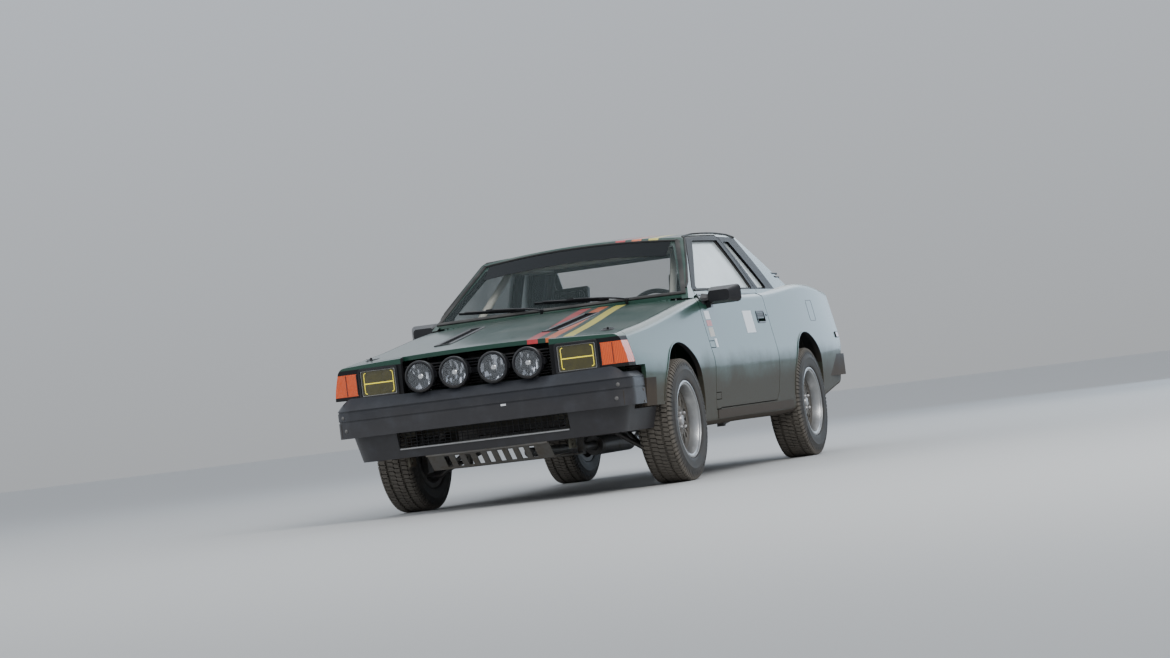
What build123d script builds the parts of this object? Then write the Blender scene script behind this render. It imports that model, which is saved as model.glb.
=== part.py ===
from build123d import *
from math import cos, radians, sin, tan
import os

os.makedirs("parts", exist_ok=True)

# A two-door notchback coupe prepared for rallying, on raised suspension. Millimetres.
# +X is forward, +Y is the car's left and +Z is up. The origin is on the ground, midway
# between the bumpers. A "station" is a distance back from the nose of the front bumper.

# Driving dimensions
length = 4440
wheelbase = 2500
front_overhang = 900
track_front = 1464
track_rear = 1450
tyre_radius = 320
tyre_width = 205
tread_width = 184
tyre_wall = 13
shoulder_round = 22
rim_bead_radius = 191
rim_lip_radius = 203
rim_width = 188
ride_clearance = 270  # underside of the sills above the ground
panel_skin = 22  # bolted panels: wings, bonnet and boot lid
pillar_depth = 36  # greenhouse pillars and roof
panel_gap = 5
door_gap = 6
joint_gap = 0.3  # between pieces of one body that sit against each other

nose_x = length / 2
front_axle_x = nose_x - front_overhang
rear_axle_x = front_axle_x - wheelbase
wheel_z = tyre_radius
front_wheel_y = track_front / 2
rear_wheel_y = track_rear / 2


def at(station):
    """The x of a station."""
    return nose_x - station


def save(piece, name):
    piece.label = name
    export_step(piece, f"parts/{name}.step")


# Lower body sections, from the nose to the tail. Columns: station, height of the top at the
# centre, crown of the top, shoulder half-width, waist half-width, waist height,
# sill half-width, underside height
body_sections = [
    (-40, 796, 22, 758, 792, 640, 730, 330),
    (400, 858, 26, 775, 827, 622, 800, 300),
    (900, 927, 30, 779, 834, 612, 806, ride_clearance + 4),
    (1450, 990, 26, 776, 834, 606, 806, ride_clearance),
    (2400, 1004, 20, 776, 836, 606, 806, ride_clearance),
    (3400, 1046, 18, 768, 834, 616, 800, ride_clearance + 20),
    (3950, 1043, 18, 750, 818, 640, 785, 350),
    (4480, 1012, 16, 700, 766, 660, 735, 400),
]
shoulder_flank = 90
shoulder_radius = 46
waist_radius = 360
sill_radius = 42
least_radius = 6

# Greenhouse sections. Columns: station, roof height at the centre, roof crown,
# half-width at the roof rail, half-width at the belt
roof_sections = [
    (1250, 1318, 24, 560, 722),
    (1950, 1352, 26, 596, 752),
    (2450, 1377, 27, 604, 758),
    (2900, 1366, 27, 602, 757),
    (3650, 1334, 25, 578, 734),
]
belt_z = 990
greenhouse_base_z = 940
rail_flank = 80
rail_radius = 34
side_bulge = 9
side_bulge_radius = 2600


def body_block(inset):
    """The lower body's outer form, drawn in by an inset."""
    with BuildPart() as block:
        for station, top, crown, shoulder, waist, waist_z, sill, under in body_sections:
            half_chord = shoulder - inset - shoulder_flank
            edge_z = top - inset - crown
            shoulder_z = edge_z - shoulder_flank * 2 * crown / half_chord
            radii = [max(r - inset, least_radius) for r in (shoulder_radius, waist_radius, sill_radius)]
            with BuildSketch(Plane.YZ.offset(at(station))):
                with BuildLine():
                    FilletPolyline(
                        (half_chord, edge_z),
                        (shoulder - inset, shoulder_z),
                        (waist - inset, waist_z),
                        (sill - inset, under + inset),
                        (0, under + inset),
                        radius=radii,
                    )
                    mirror(about=Plane.YZ)
                    ThreePointArc((half_chord, edge_z), (0, top - inset), (-half_chord, edge_z))
                make_face()
        loft()
    return block.part


def greenhouse_block(inset):
    """The roof, pillars and side glass as one tunnel, drawn in by an inset."""
    with BuildPart() as block:
        for station, top, crown, rail, belt in roof_sections:
            half_chord = rail - inset - rail_flank
            edge_z = top - inset - crown
            rail_z = edge_z - rail_flank * 2 * crown / half_chord
            lean = (belt - rail) / (rail_z - belt_z)
            base_y = belt - inset + lean * (belt_z - greenhouse_base_z)
            middle_z = (rail_z + belt_z) / 2
            middle_y = (rail + belt) / 2 - inset + side_bulge
            radii = [max(rail_radius - inset, least_radius), side_bulge_radius]
            with BuildSketch(Plane.YZ.offset(at(station))):
                with BuildLine():
                    FilletPolyline(
                        (half_chord, edge_z),
                        (rail - inset, rail_z),
                        (middle_y, middle_z),
                        (base_y, greenhouse_base_z),
                        (0, greenhouse_base_z),
                        radius=radii + [least_radius],
                    )
                    mirror(about=Plane.YZ)
                    ThreePointArc((half_chord, edge_z), (0, top - inset), (-half_chord, edge_z))
                make_face()
        loft()
    return block.part


# Windscreen and rear window: a bowed plan arc that leans back at one slope
screen_base_station = 1340  # at the centre, at the belt
screen_bow = 104
screen_half_chord = 748
screen_lean = 1.585  # run per rise
screen_glass = 9
bonded_inset = 12  # from the roof and pillar surfaces to the edge of the bonded glass
rear_base_station = 3548  # at the centre, at the belt
rear_bow = 62
rear_half_chord = 735
rear_lean = 1.83
cut_reach = 700
cut_start_z = 880


def leaning_cut(station, bow, half_chord, lean, facing):
    """Everything beyond a leaning, bowed glass plane. Facing is 1 forward and -1 rearward."""
    start = station - facing * lean * (belt_z - cut_start_z)
    wide = 1100
    setback = bow * (wide / half_chord) ** 2
    edge = start + facing * setback
    far = start - facing * 1500
    rise = belt_z - cut_start_z + 560
    slope = Vector(-facing * lean, 0, 1)
    with BuildPart() as cut:
        with BuildSketch(Plane.XY.offset(cut_start_z)):
            with BuildLine():
                ThreePointArc((at(edge), wide), (at(start), 0), (at(edge), -wide))
                Polyline((at(edge), -wide), (at(far), -wide), (at(far), wide), (at(edge), wide))
            make_face()
        extrude(amount=rise * slope.length, dir=slope.normalized())
    return cut.part


lower_outer = body_block(0)
lower_skin = body_block(panel_skin)
upper_tunnel = greenhouse_block(0)
upper_inner = greenhouse_block(pillar_depth)
screen_cut = leaning_cut(screen_base_station, screen_bow, screen_half_chord, screen_lean, 1)
rear_cut = leaning_cut(rear_base_station, rear_bow, rear_half_chord, rear_lean, -1)
rear_cut_inner = rear_cut.moved(Location((screen_glass, 0, 0)))
screen_cut_inner = screen_cut.moved(Location((-screen_glass, 0, 0)))

with BuildPart() as upper_outer_form:
    add(upper_tunnel)
    add(screen_cut, mode=Mode.SUBTRACT)
    add(rear_cut, mode=Mode.SUBTRACT)
upper_outer = upper_outer_form.part

# Nose and tail in plan
nose_bow = 62
nose_corner_y = 800
nose_corner_radius = 150
nose_setback = 48
tail_station = 4385
tail_bow = 45
tail_corner_radius = 90
tall = 1600

with BuildPart() as nose_tail_trim:
    with BuildSketch(Plane.XY):
        with BuildLine():
            l1 = ThreePointArc(
                (at(nose_setback + nose_bow), -900), (at(nose_setback), 0), (at(nose_setback + nose_bow), 900)
            )
            l2 = ThreePointArc(
                (at(tail_station - tail_bow), 900), (at(tail_station), 0), (at(tail_station - tail_bow), -900)
            )
            Line(l1 @ 1, l2 @ 0)
            Line(l2 @ 1, l1 @ 0)
        make_face()
    extrude(amount=tall)
plan_trim = nose_tail_trim.part

with BuildPart() as lower_form:
    add(lower_outer)
    add(plan_trim, mode=Mode.INTERSECT)
lower_body = lower_form.part

# Wheel arches
arch_radius_front = 345
arch_centre_front = 378
arch_radius_rear = 338
arch_centre_rear = 396
well_radius_front = 384
well_inner_y = 458
rear_well_radius = 352
rear_well_inner_y = 604
skin_inner_y = 796
knuckle_y = 672  # the steering axis
tyre_sweep_radius = 360  # about the steering axis, with its clearance
arch_lip = 6
arch_lip_width = 16


def side_cylinder(x, z, radius, y_from, y_to):
    """A cylinder across the car's left side."""
    with BuildPart() as drum:
        with BuildSketch(Plane.XZ.offset(-y_from)):
            with Locations((x, z)):
                Circle(radius)
        extrude(amount=-(y_to - y_from))
    return drum.part


arch_cut_front = side_cylinder(front_axle_x, arch_centre_front, arch_radius_front, 560, 950)
arch_cut_rear = side_cylinder(rear_axle_x, arch_centre_rear, arch_radius_rear, 560, 950)
well_cut_front = side_cylinder(front_axle_x, arch_centre_front, well_radius_front, well_inner_y, skin_inner_y)
well_cut_rear = side_cylinder(rear_axle_x, arch_centre_rear, rear_well_radius, rear_well_inner_y, skin_inner_y)


def tyre_sweep(top_z):
    """The room that the left front tyre needs as it steers, up to a height."""
    with BuildPart() as drum:
        with BuildSketch(Plane.XY.offset(180)):
            with Locations((front_axle_x, knuckle_y)):
                Circle(tyre_sweep_radius)
        extrude(amount=top_z - 180)
    return drum.part


def side_prism(points, y_from, depth, draft=0.0, rounding=0.0):
    """A side-view outline of (station, height) points, pushed inward across the car."""
    with BuildPart() as prism:
        with BuildSketch(Plane.XZ.offset(-y_from)) as outline:
            with BuildLine():
                Polyline(*[(at(s), z) for s, z in points], close=True)
            make_face()
            if rounding:
                fillet(outline.vertices(), rounding)
        extrude(amount=depth, taper=draft)
    return prism.part


def block(s_from, s_to, y_from, y_to, z_from, z_to):
    """A plain block between two stations, two sides and two heights."""
    return Pos((at(s_from) + at(s_to)) / 2, (y_from + y_to) / 2, (z_from + z_to) / 2) * Box(
        abs(s_to - s_from), y_to - y_from, z_to - z_from, mode=Mode.PRIVATE
    )


def rod(start, end, radius):
    """A round bar between two points."""
    path = Vector(*end) - Vector(*start)
    with BuildPart() as bar:
        with BuildSketch(Plane(origin=start, z_dir=path)):
            Circle(radius)
        extrude(amount=path.length)
    return bar.part


# Doors. The hinge axis stands inside the leading edge, which is rolled about it.
hinge_station = 1500
hinge_y = 796
hinge_roll = 42
hinge_height_low = 420
hinge_height_high = 700
hinge_pin_radius = 7
hinge_pin_play = 0.06
hinge_boss_radius = 13
hinge_leaf_height = 30
hinge_cheek_height = 33
hinge_cheek_radius = 55
hinge_cheek_gap = 4
hinge_pin_length = 62
door_inner_y = 712
door_bottom_z = 352
door_rear_station = 2728
door_draft = 14
side_cut_y = 900
side_cut_depth = 420
frame_lower_lead = (1528, 1012)
frame_upper_lead = (1996, 1322)
frame_upper_rear = (2502, 1326)
frame_lower_rear = (2676, 1000)
frame_cut_y = 762
frame_rail_y = 602
glass_outline = [(1588, 1008), (2030, 1296), (2462, 1300), (2622, 1004)]
glass_rounding = 14
door_side_glass = 5
glass_rebate = 14


def door_outline(gap):
    """The shut line, grown by a gap. Its leading edge stops at the hinge axis."""
    return [
        (hinge_station - 200, door_bottom_z - gap),
        (door_rear_station - 40 + gap, door_bottom_z - gap),
        (door_rear_station + gap, door_bottom_z + 160),
        (door_rear_station + gap, belt_z - 30 + gap),
        (2690 + gap, belt_z + gap),
        (hinge_station - 200, belt_z + gap),
    ]


def frame_outline(gap):
    """The window frame's shut line at frame_cut_y, grown by a gap and by what the draft takes off."""
    low = gap
    high = gap + (frame_cut_y - frame_rail_y) * tan(radians(door_draft))
    return [
        (frame_lower_lead[0] - low, belt_z - 60),
        (frame_lower_rear[0] + low, belt_z - 60),
        (frame_lower_rear[0] + low, frame_lower_rear[1]),
        (frame_upper_rear[0] + high, frame_upper_rear[1] + high),
        (frame_upper_lead[0] - high, frame_upper_lead[1] + high),
        (frame_lower_lead[0] - low, frame_lower_lead[1] + low),
    ]


# The outline is drawn at side_cut_y, outside the skin, so it is grown there by what the
# draft takes off on the way in to the skin at the waist.
draft_growth = (side_cut_y - 834) * tan(radians(door_draft))
door_prism = side_prism(door_outline(draft_growth), side_cut_y, side_cut_depth, door_draft)
door_opening = side_prism(door_outline(draft_growth + door_gap), side_cut_y, side_cut_depth, door_draft)
frame_prism = side_prism(frame_outline(0), frame_cut_y, side_cut_depth - 100, door_draft)
frame_opening = side_prism(frame_outline(door_gap), frame_cut_y, side_cut_depth - 100, door_draft)
ahead_of_hinge = block(600, hinge_station, 300, 1000, 0, 1600)
belt_keep = block(hinge_station - 70, hinge_station, 600, 1000, door_bottom_z, 1012)


def hinge_drum(radius, z_from, z_to):
    with BuildPart() as drum:
        with BuildSketch(Plane.XY.offset(z_from)):
            with Locations((at(hinge_station), hinge_y)):
                Circle(radius)
        extrude(amount=z_to - z_from)
    return drum.part


roof_seam_y = 548
roll_top_z = 972
roll_drum = hinge_drum(hinge_roll, door_bottom_z, roll_top_z)
roll_clearance = hinge_drum(hinge_roll + door_gap, door_bottom_z - door_gap, 1040)
window_prism = side_prism(glass_outline, side_cut_y, side_cut_depth, 0, glass_rounding)

handle_station = 2570
handle_z = 838

with BuildPart() as door_form:
    add(lower_body)
    add(block(hinge_station - 70, 2900, door_inner_y, 1000, 300, 1040), mode=Mode.INTERSECT)
    with BuildPart(mode=Mode.PRIVATE) as door_bounds:
        add(door_prism)
        add(ahead_of_hinge, mode=Mode.SUBTRACT)
        add(roll_drum)
    add(door_bounds.part, mode=Mode.INTERSECT)
    with BuildPart(mode=Mode.PRIVATE) as window_frame:
        add(upper_outer)
        add(upper_inner, mode=Mode.SUBTRACT)
        add(frame_prism, mode=Mode.INTERSECT)
        add(block(hinge_station, 2900, roof_seam_y + door_gap, 1000, belt_z - 40, 1600), mode=Mode.INTERSECT)
        add(window_prism, mode=Mode.SUBTRACT)
    add(window_frame.part)
    # A pull recess with its flap, near the trailing edge
    with BuildSketch(Plane.XZ.offset(-772)):
        with Locations((at(handle_station), handle_z)):
            RectangleRounded(150, 62, 12)
    extrude(amount=-120, mode=Mode.SUBTRACT)
    with BuildPart(mode=Mode.PRIVATE) as flap:
        with BuildSketch(Plane.XZ.offset(-764)):
            with Locations((at(handle_station), handle_z + 8)):
                RectangleRounded(138, 34, 8)
        extrude(amount=-90)
        add(lower_body, mode=Mode.INTERSECT)
    add(flap.part)
with BuildPart() as door_left:
    add(door_form.part)
    # Pockets and bores for the body's two hinges
    for height in (hinge_height_low, hinge_height_high):
        half_pocket = hinge_cheek_height / 2 + hinge_cheek_gap
        pocket = hinge_drum(hinge_cheek_radius + hinge_cheek_gap, height - half_pocket, height + half_pocket)
        add(pocket, mode=Mode.SUBTRACT)
        half_bore = hinge_pin_length / 2 + 3
        add(
            hinge_drum(hinge_pin_radius + hinge_pin_play, height - half_bore, height + half_bore),
            mode=Mode.SUBTRACT,
        )
save(door_left.part, "door_left")

with BuildPart() as door_right:
    mirror(door_left.part, about=Plane.XZ)
save(door_right.part, "door_right")

# Side glass, set back from the frame's outer face
glass_band_outer = greenhouse_block(glass_rebate)
glass_band_inner = greenhouse_block(glass_rebate + door_side_glass)
with BuildPart() as glass_band_form:
    add(glass_band_outer)
    add(glass_band_inner, mode=Mode.SUBTRACT)
    add(block(1500, 3200, 400, 1000, belt_z - 20, 1330), mode=Mode.INTERSECT)
glass_band = glass_band_form.part


def inner_outline(points, inset):
    """A side outline drawn in by an inset, about its middle."""
    with BuildSketch() as flat:
        with BuildLine():
            Polyline(*[(at(s), z) for s, z in points], close=True)
        make_face()
        fillet(flat.vertices(), glass_rounding)
        offset(amount=-inset, mode=Mode.REPLACE)
    return flat.sketch


def pane(points):
    with BuildPart() as sheet:
        with BuildSketch(Plane.XZ.offset(-side_cut_y)):
            add(inner_outline(points, joint_gap))
        extrude(amount=side_cut_depth)
        add(glass_band, mode=Mode.INTERSECT)
    return sheet.part


with BuildPart() as door_glass_left:
    add(pane(glass_outline))
save(door_glass_left.part, "door_glass_left")
with BuildPart() as door_glass_right:
    mirror(door_glass_left.part, about=Plane.XZ)
save(door_glass_right.part, "door_glass_right")

quarter_outline = [(2748, 1004), (2560, 1292), (2690, 1292), (2930, 1004)]
with BuildPart() as quarter_windows:
    quarter_pane = pane(quarter_outline)
    add(quarter_pane)
    mirror(quarter_pane, about=Plane.XZ)
save(quarter_windows.part, "quarter_windows")

# Body sides: sill, hinge pillar, lock pillar, rear quarter, roof rail and screen pillars
side_inner_y = 706
post_station = 1392
boot_floor_z = 430
quarter_prism = side_prism(quarter_outline, side_cut_y, side_cut_depth, 0, glass_rounding)
wing_rear_station = 1472
pillar_vents = [(3262, 3500, 1072), (3240, 3462, 1094)]  # front and rear station, low edge
pillar_vent_floor_y = 676

with BuildPart() as side_left:
    add(lower_body)
    add(block(wing_rear_station + 3, 4440, side_inner_y, 1000, 200, 1100), mode=Mode.INTERSECT)
    with BuildPart(mode=Mode.PRIVATE) as hinge_post:
        add(lower_skin)
        add(block(post_station, wing_rear_station + 4, 640, 1000, 200, 968), mode=Mode.INTERSECT)
    add(hinge_post.part)
    with BuildPart(mode=Mode.PRIVATE) as sill_box:
        add(block(post_station, 3040, 640, side_inner_y + 36, ride_clearance + 6, 380))
    add(sill_box.part)
    with BuildPart(mode=Mode.PRIVATE) as side_frame:
        add(upper_outer)
        add(upper_inner, mode=Mode.SUBTRACT)
        add(block(1200, 3800, roof_seam_y, 1000, 962, 1500), mode=Mode.INTERSECT)
    add(side_frame.part)
    with BuildPart(mode=Mode.PRIVATE) as door_hole:
        add(door_opening)
        add(ahead_of_hinge, mode=Mode.SUBTRACT)
        add(frame_opening)
        add(roll_clearance)
    add(door_hole.part, mode=Mode.SUBTRACT)
    add(quarter_prism, mode=Mode.SUBTRACT)
    for low_front, high_front, low_z in pillar_vents:
        slot_points = [(low_front, low_z), (high_front, low_z), (high_front - 12, low_z + 11), (low_front - 12, low_z + 11)]
        add(side_prism(slot_points, side_cut_y, side_cut_y - pillar_vent_floor_y), mode=Mode.SUBTRACT)
    # The rear wheel house
    add(side_cylinder(rear_axle_x, arch_centre_rear, rear_well_radius + 10, rear_well_inner_y - 10, 720))
    add(well_cut_rear, mode=Mode.SUBTRACT)
    add(arch_cut_rear, mode=Mode.SUBTRACT)
    add(block(2900, 4440, 560, 1000, 0, ride_clearance + 6), mode=Mode.SUBTRACT)
    # The hinge leaves, their cheeks in the door's skin and their pins
    for height in (hinge_height_low, hinge_height_high):
        with BuildPart(mode=Mode.PRIVATE) as cheek:
            add(door_form.part)
            half_cheek = hinge_cheek_height / 2
            add(hinge_drum(hinge_cheek_radius, height - half_cheek, height + half_cheek), mode=Mode.INTERSECT)
        add(cheek.part)
        half_leaf = hinge_leaf_height / 2
        add(
            block(post_station + 40, hinge_station, hinge_y - 19, hinge_y - 5, height - half_leaf, height + half_leaf)
        )
        add(hinge_drum(hinge_boss_radius, height - half_leaf, height + half_leaf))
        add(hinge_drum(hinge_pin_radius, height - hinge_pin_length / 2, height + hinge_pin_length / 2))
with BuildPart() as body_sides:
    add(side_left.part)
    mirror(side_left.part, about=Plane.XZ)
save(body_sides.part, "body_sides")

with BuildPart() as roof_panel:
    add(upper_outer)
    add(upper_inner, mode=Mode.SUBTRACT)
    add(
        block(1200, 3800, -roof_seam_y + joint_gap, roof_seam_y - joint_gap, 1240, 1500),
        mode=Mode.INTERSECT,
    )
save(roof_panel.part, "roof_panel")

# Bonnet. It turns up about a cross axis in the gutter ahead of the windscreen.
bonnet_front_station = 96
bonnet_rear_station = 1270
bonnet_half_width = 740
bonnet_hinge_station = 1368
bonnet_hinge_z = 955
bonnet_hinge_y = 620
strap_pin_radius = 5
strap_knuckle_radius = 11
strap_knuckle_width = 26
vent_front = (400, 300)  # station and distance from the middle
vent_rear = (1000, 327)
vent_width = 58
catch_station = 275
catch_y = 652
scuttle_station = 1322


def bowed_plan(front, rear, half_width, front_bow, rear_bow_depth):
    """A plan outline between two bowed edges, as a tall prism."""
    with BuildPart() as prism:
        with BuildSketch(Plane.XY):
            with BuildLine():
                f = ThreePointArc(
                    (at(front + front_bow), -half_width), (at(front), 0), (at(front + front_bow), half_width)
                )
                r = ThreePointArc(
                    (at(rear + rear_bow_depth), half_width), (at(rear), 0), (at(rear + rear_bow_depth), -half_width)
                )
                Line(f @ 1, r @ 0)
                Line(r @ 1, f @ 0)
            make_face()
        extrude(amount=tall)
    return prism.part


def bow_at(bow, chord, y):
    return bow * (y / chord) ** 2


def cross_drum(station, z, radius, y_from, y_to):
    """A cylinder about a cross axis."""
    with BuildPart() as drum:
        with BuildSketch(Plane.XZ.offset(-y_from)):
            with Locations((at(station), z)):
                Circle(radius)
        extrude(amount=-(y_to - y_from))
    return drum.part


bonnet_plan = bowed_plan(
    bonnet_front_station,
    bonnet_rear_station,
    bonnet_half_width,
    bow_at(nose_bow, 900, bonnet_half_width),
    bow_at(screen_bow, screen_half_chord, bonnet_half_width),
)
with BuildPart() as bonnet:
    add(lower_body)
    add(lower_skin, mode=Mode.SUBTRACT)
    add(bonnet_plan, mode=Mode.INTERSECT)
    add(block(0, 1500, -800, 800, 700, 1100), mode=Mode.INTERSECT)
    for side in (-1, 1):
        with BuildSketch(Plane.XY.offset(800)):
            with BuildLine():
                Polyline(
                    (at(vent_front[0]), side * (vent_front[1] - vent_width / 2)),
                    (at(vent_front[0]), side * (vent_front[1] + vent_width / 2)),
                    (at(vent_rear[0]), side * (vent_rear[1] + vent_width / 2)),
                    (at(vent_rear[0]), side * (vent_rear[1] - vent_width / 2)),
                    close=True,
                )
            make_face()
        extrude(amount=300, mode=Mode.SUBTRACT)
        middle = side * bonnet_hinge_y
        half = strap_knuckle_width / 2
        add(cross_drum(bonnet_hinge_station, bonnet_hinge_z, strap_knuckle_radius, middle - half, middle + half))
        add(block(1318, bonnet_hinge_station, middle - half, middle + half, bonnet_hinge_z - 16, bonnet_hinge_z - 4))
        add(
            cross_drum(
                bonnet_hinge_station, bonnet_hinge_z, strap_pin_radius + hinge_pin_play, middle - 30, middle + 30
            ),
            mode=Mode.SUBTRACT,
        )
save(bonnet.part, "bonnet")

# Scuttle and bulkhead
firewall_station = 1385
cabin_half_width = 640
glass_seat_z = 992
scuttle_arc = bowed_plan(scuttle_station, 1500, 760, bow_at(screen_bow, screen_half_chord, 760), 1)
side_limit = cabin_half_width - joint_gap
side_seam_y = side_inner_y - joint_gap
pillar_clear = greenhouse_block(pillar_depth + joint_gap)
with BuildPart() as scuttle:
    add(lower_body)
    add(scuttle_arc, mode=Mode.INTERSECT)
    add(block(1300, 1500, -side_limit, side_limit, 880, 1100), mode=Mode.INTERSECT)
    with BuildPart(mode=Mode.PRIVATE) as glass_sill:
        add(upper_outer)
        add(screen_cut.moved(Location((-70, 0, 0))), mode=Mode.INTERSECT)
        add(pillar_clear, mode=Mode.INTERSECT)
        add(scuttle_arc, mode=Mode.INTERSECT)
        add(block(1250, 1600, -side_seam_y, side_seam_y, 945, glass_seat_z - joint_gap), mode=Mode.INTERSECT)
        add(block(1250, 1600, -760, -side_limit, 900, 968 + joint_gap), mode=Mode.SUBTRACT)
        add(block(1250, 1600, side_limit, 760, 900, 968 + joint_gap), mode=Mode.SUBTRACT)
    add(glass_sill.part)
    add(block(1262, 1400, -side_limit, side_limit, 880, 892))
    add(block(firewall_station, 1399, -side_limit, side_limit, 300, 900))
    add(block(firewall_station - 5, 1410, -118, 118, 290, 424), mode=Mode.SUBTRACT)
    for side in (-1, 1):
        for inner in (22, -22 - 14):
            y_from = side * bonnet_hinge_y + inner
            add(cross_drum(bonnet_hinge_station, bonnet_hinge_z, strap_knuckle_radius - 1, y_from, y_from + 14))
            add(
                block(
                    bonnet_hinge_station + 10,
                    bonnet_hinge_station - 10,
                    y_from,
                    y_from + 14,
                    885,
                    bonnet_hinge_z,
                )
            )
        middle = side * bonnet_hinge_y
        add(cross_drum(bonnet_hinge_station, bonnet_hinge_z, strap_pin_radius, middle - 30, middle + 30))
save(scuttle.part, "scuttle")

# Glass front and rear
bonded_limit = greenhouse_block(bonded_inset)
with BuildPart() as windscreen:
    add(bonded_limit)
    add(screen_cut.moved(Location((joint_gap + screen_glass, 0, 0))), mode=Mode.SUBTRACT)
    add(screen_cut.moved(Location((joint_gap, 0, 0))), mode=Mode.INTERSECT)
    add(block(1200, 2300, -900, 900, glass_seat_z, 1500), mode=Mode.INTERSECT)
save(windscreen.part, "windscreen")

rear_glass_seat_z = 1062
with BuildPart() as rear_window:
    add(bonded_limit)
    add(rear_cut.moved(Location((-joint_gap - screen_glass, 0, 0))), mode=Mode.SUBTRACT)
    add(rear_cut.moved(Location((-joint_gap, 0, 0))), mode=Mode.INTERSECT)
    add(block(2600, 3700, -900, 900, rear_glass_seat_z, 1500), mode=Mode.INTERSECT)
save(rear_window.part, "rear_window")

# Floor with its tunnel and rear kick-up
floor_thick = 14
floor_z = ride_clearance + 12
kick_station = 2960
boot_z = 452
seat_back_station = 3080
with BuildPart() as floor_pan:
    with BuildSketch(Plane.XZ.offset(-(cabin_half_width - joint_gap))):
        with BuildLine():
            Polyline(
                (at(1400), floor_z),
                (at(kick_station), floor_z),
                (at(seat_back_station), boot_z),
                (at(4300), boot_z),
                (at(4300), boot_z + floor_thick),
                (at(seat_back_station - 12), boot_z + floor_thick),
                (at(kick_station - 12), floor_z + floor_thick),
                (at(1400), floor_z + floor_thick),
                close=True,
            )
        make_face()
    extrude(amount=2 * (cabin_half_width - joint_gap))
    for side in (-1, 1):
        inner = sorted((side * (rear_well_inner_y - 14), side * 700))
        add(block(2990, 3810, *inner, 300, 900), mode=Mode.SUBTRACT)
        margin = sorted((side * (cabin_half_width - 2), side * (side_inner_y - joint_gap)))
        add(block(3812, 4300, *margin, boot_z, boot_z + floor_thick))
    add(block(1400, 3072, -125, 125, floor_z, 430))
    add(block(1390, 3110, -112, 112, floor_z - 10, 417), mode=Mode.SUBTRACT)
save(floor_pan.part, "floor_pan")

# Front structure: aprons, rails, strut turrets and the panel behind the grille
apron_y = 452
rail_z = 402
turret_top_z = 832
tow_eye_y = 438
tow_eye_thick = 12
tow_eye_station = 124
tow_eye_z = 278
tow_eye_radius = 15
with BuildPart() as front_structure:
    for side in (-1, 1):
        inner = sorted((side * (apron_y - 14), side * apron_y))
        rail = sorted((side * (apron_y - 70), side * apron_y))
        shelf = sorted((side * (apron_y - 14), side * 660))
        add(block(240, 1384, *inner, rail_z, 740))
        add(block(700, firewall_station - joint_gap, *inner, rail_z, turret_top_z))
        add(block(90 + joint_gap, 1300, *rail, rail_z, rail_z + 90))
        add(block(780, 1020, *shelf, turret_top_z - 12, turret_top_z))
        eye = sorted((side * (tow_eye_y - tow_eye_thick / 2), side * (tow_eye_y + tow_eye_thick / 2)))
        add(block(tow_eye_station - 26, 180, *eye, tow_eye_z - 28, rail_z + 20))
        add(cross_drum(tow_eye_station, tow_eye_z, tow_eye_radius, eye[0] - 4, eye[1] + 4), mode=Mode.SUBTRACT)
        add(block(146 + joint_gap, 230, *sorted((side * 380, side * 400)), 640, 680))
    add(block(226, 240, -apron_y, apron_y, rail_z, 740))
save(front_structure.part, "front_structure")

# Front wings
wing_low_z = 414
with BuildPart() as wing_left:
    add(lower_body)
    add(lower_skin, mode=Mode.SUBTRACT)
    add(block(182, wing_rear_station, bonnet_half_width + panel_gap, 1000, 200, 1100), mode=Mode.INTERSECT)
    add(arch_cut_front, mode=Mode.SUBTRACT)
    add(roll_clearance, mode=Mode.SUBTRACT)
    add(block(100, 600, 500, 1000, 0, wing_low_z), mode=Mode.SUBTRACT)
    add(tyre_sweep(330), mode=Mode.SUBTRACT)
    add(block(170, 300, 500, 1000, 0, 626), mode=Mode.SUBTRACT)
with BuildPart() as front_wings:
    add(wing_left.part)
    mirror(wing_left.part, about=Plane.XZ)
save(front_wings.part, "front_wings")

# Nose panel with its lamp bezels and grille opening
nose_depth = 26
nose_rear_station = 179
lamp_y = 541
lamp_z = 700
lamp_width = 228
lamp_height = 148
lens_width = 200
lens_height = 134
corner_lamp_z = 700
corner_lamp_height = 112
grille_half_width = 404
grille_low_z = 628
grille_high_z = 768
corner_lamp_inner_y = 664


def corner_lamp_zone(side, gap):
    span = sorted((side * (corner_lamp_inner_y - gap), side * 900))
    half_height = corner_lamp_height / 2 + gap
    return block(0, 178 + gap, *span, corner_lamp_z - half_height, corner_lamp_z + half_height)


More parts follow.
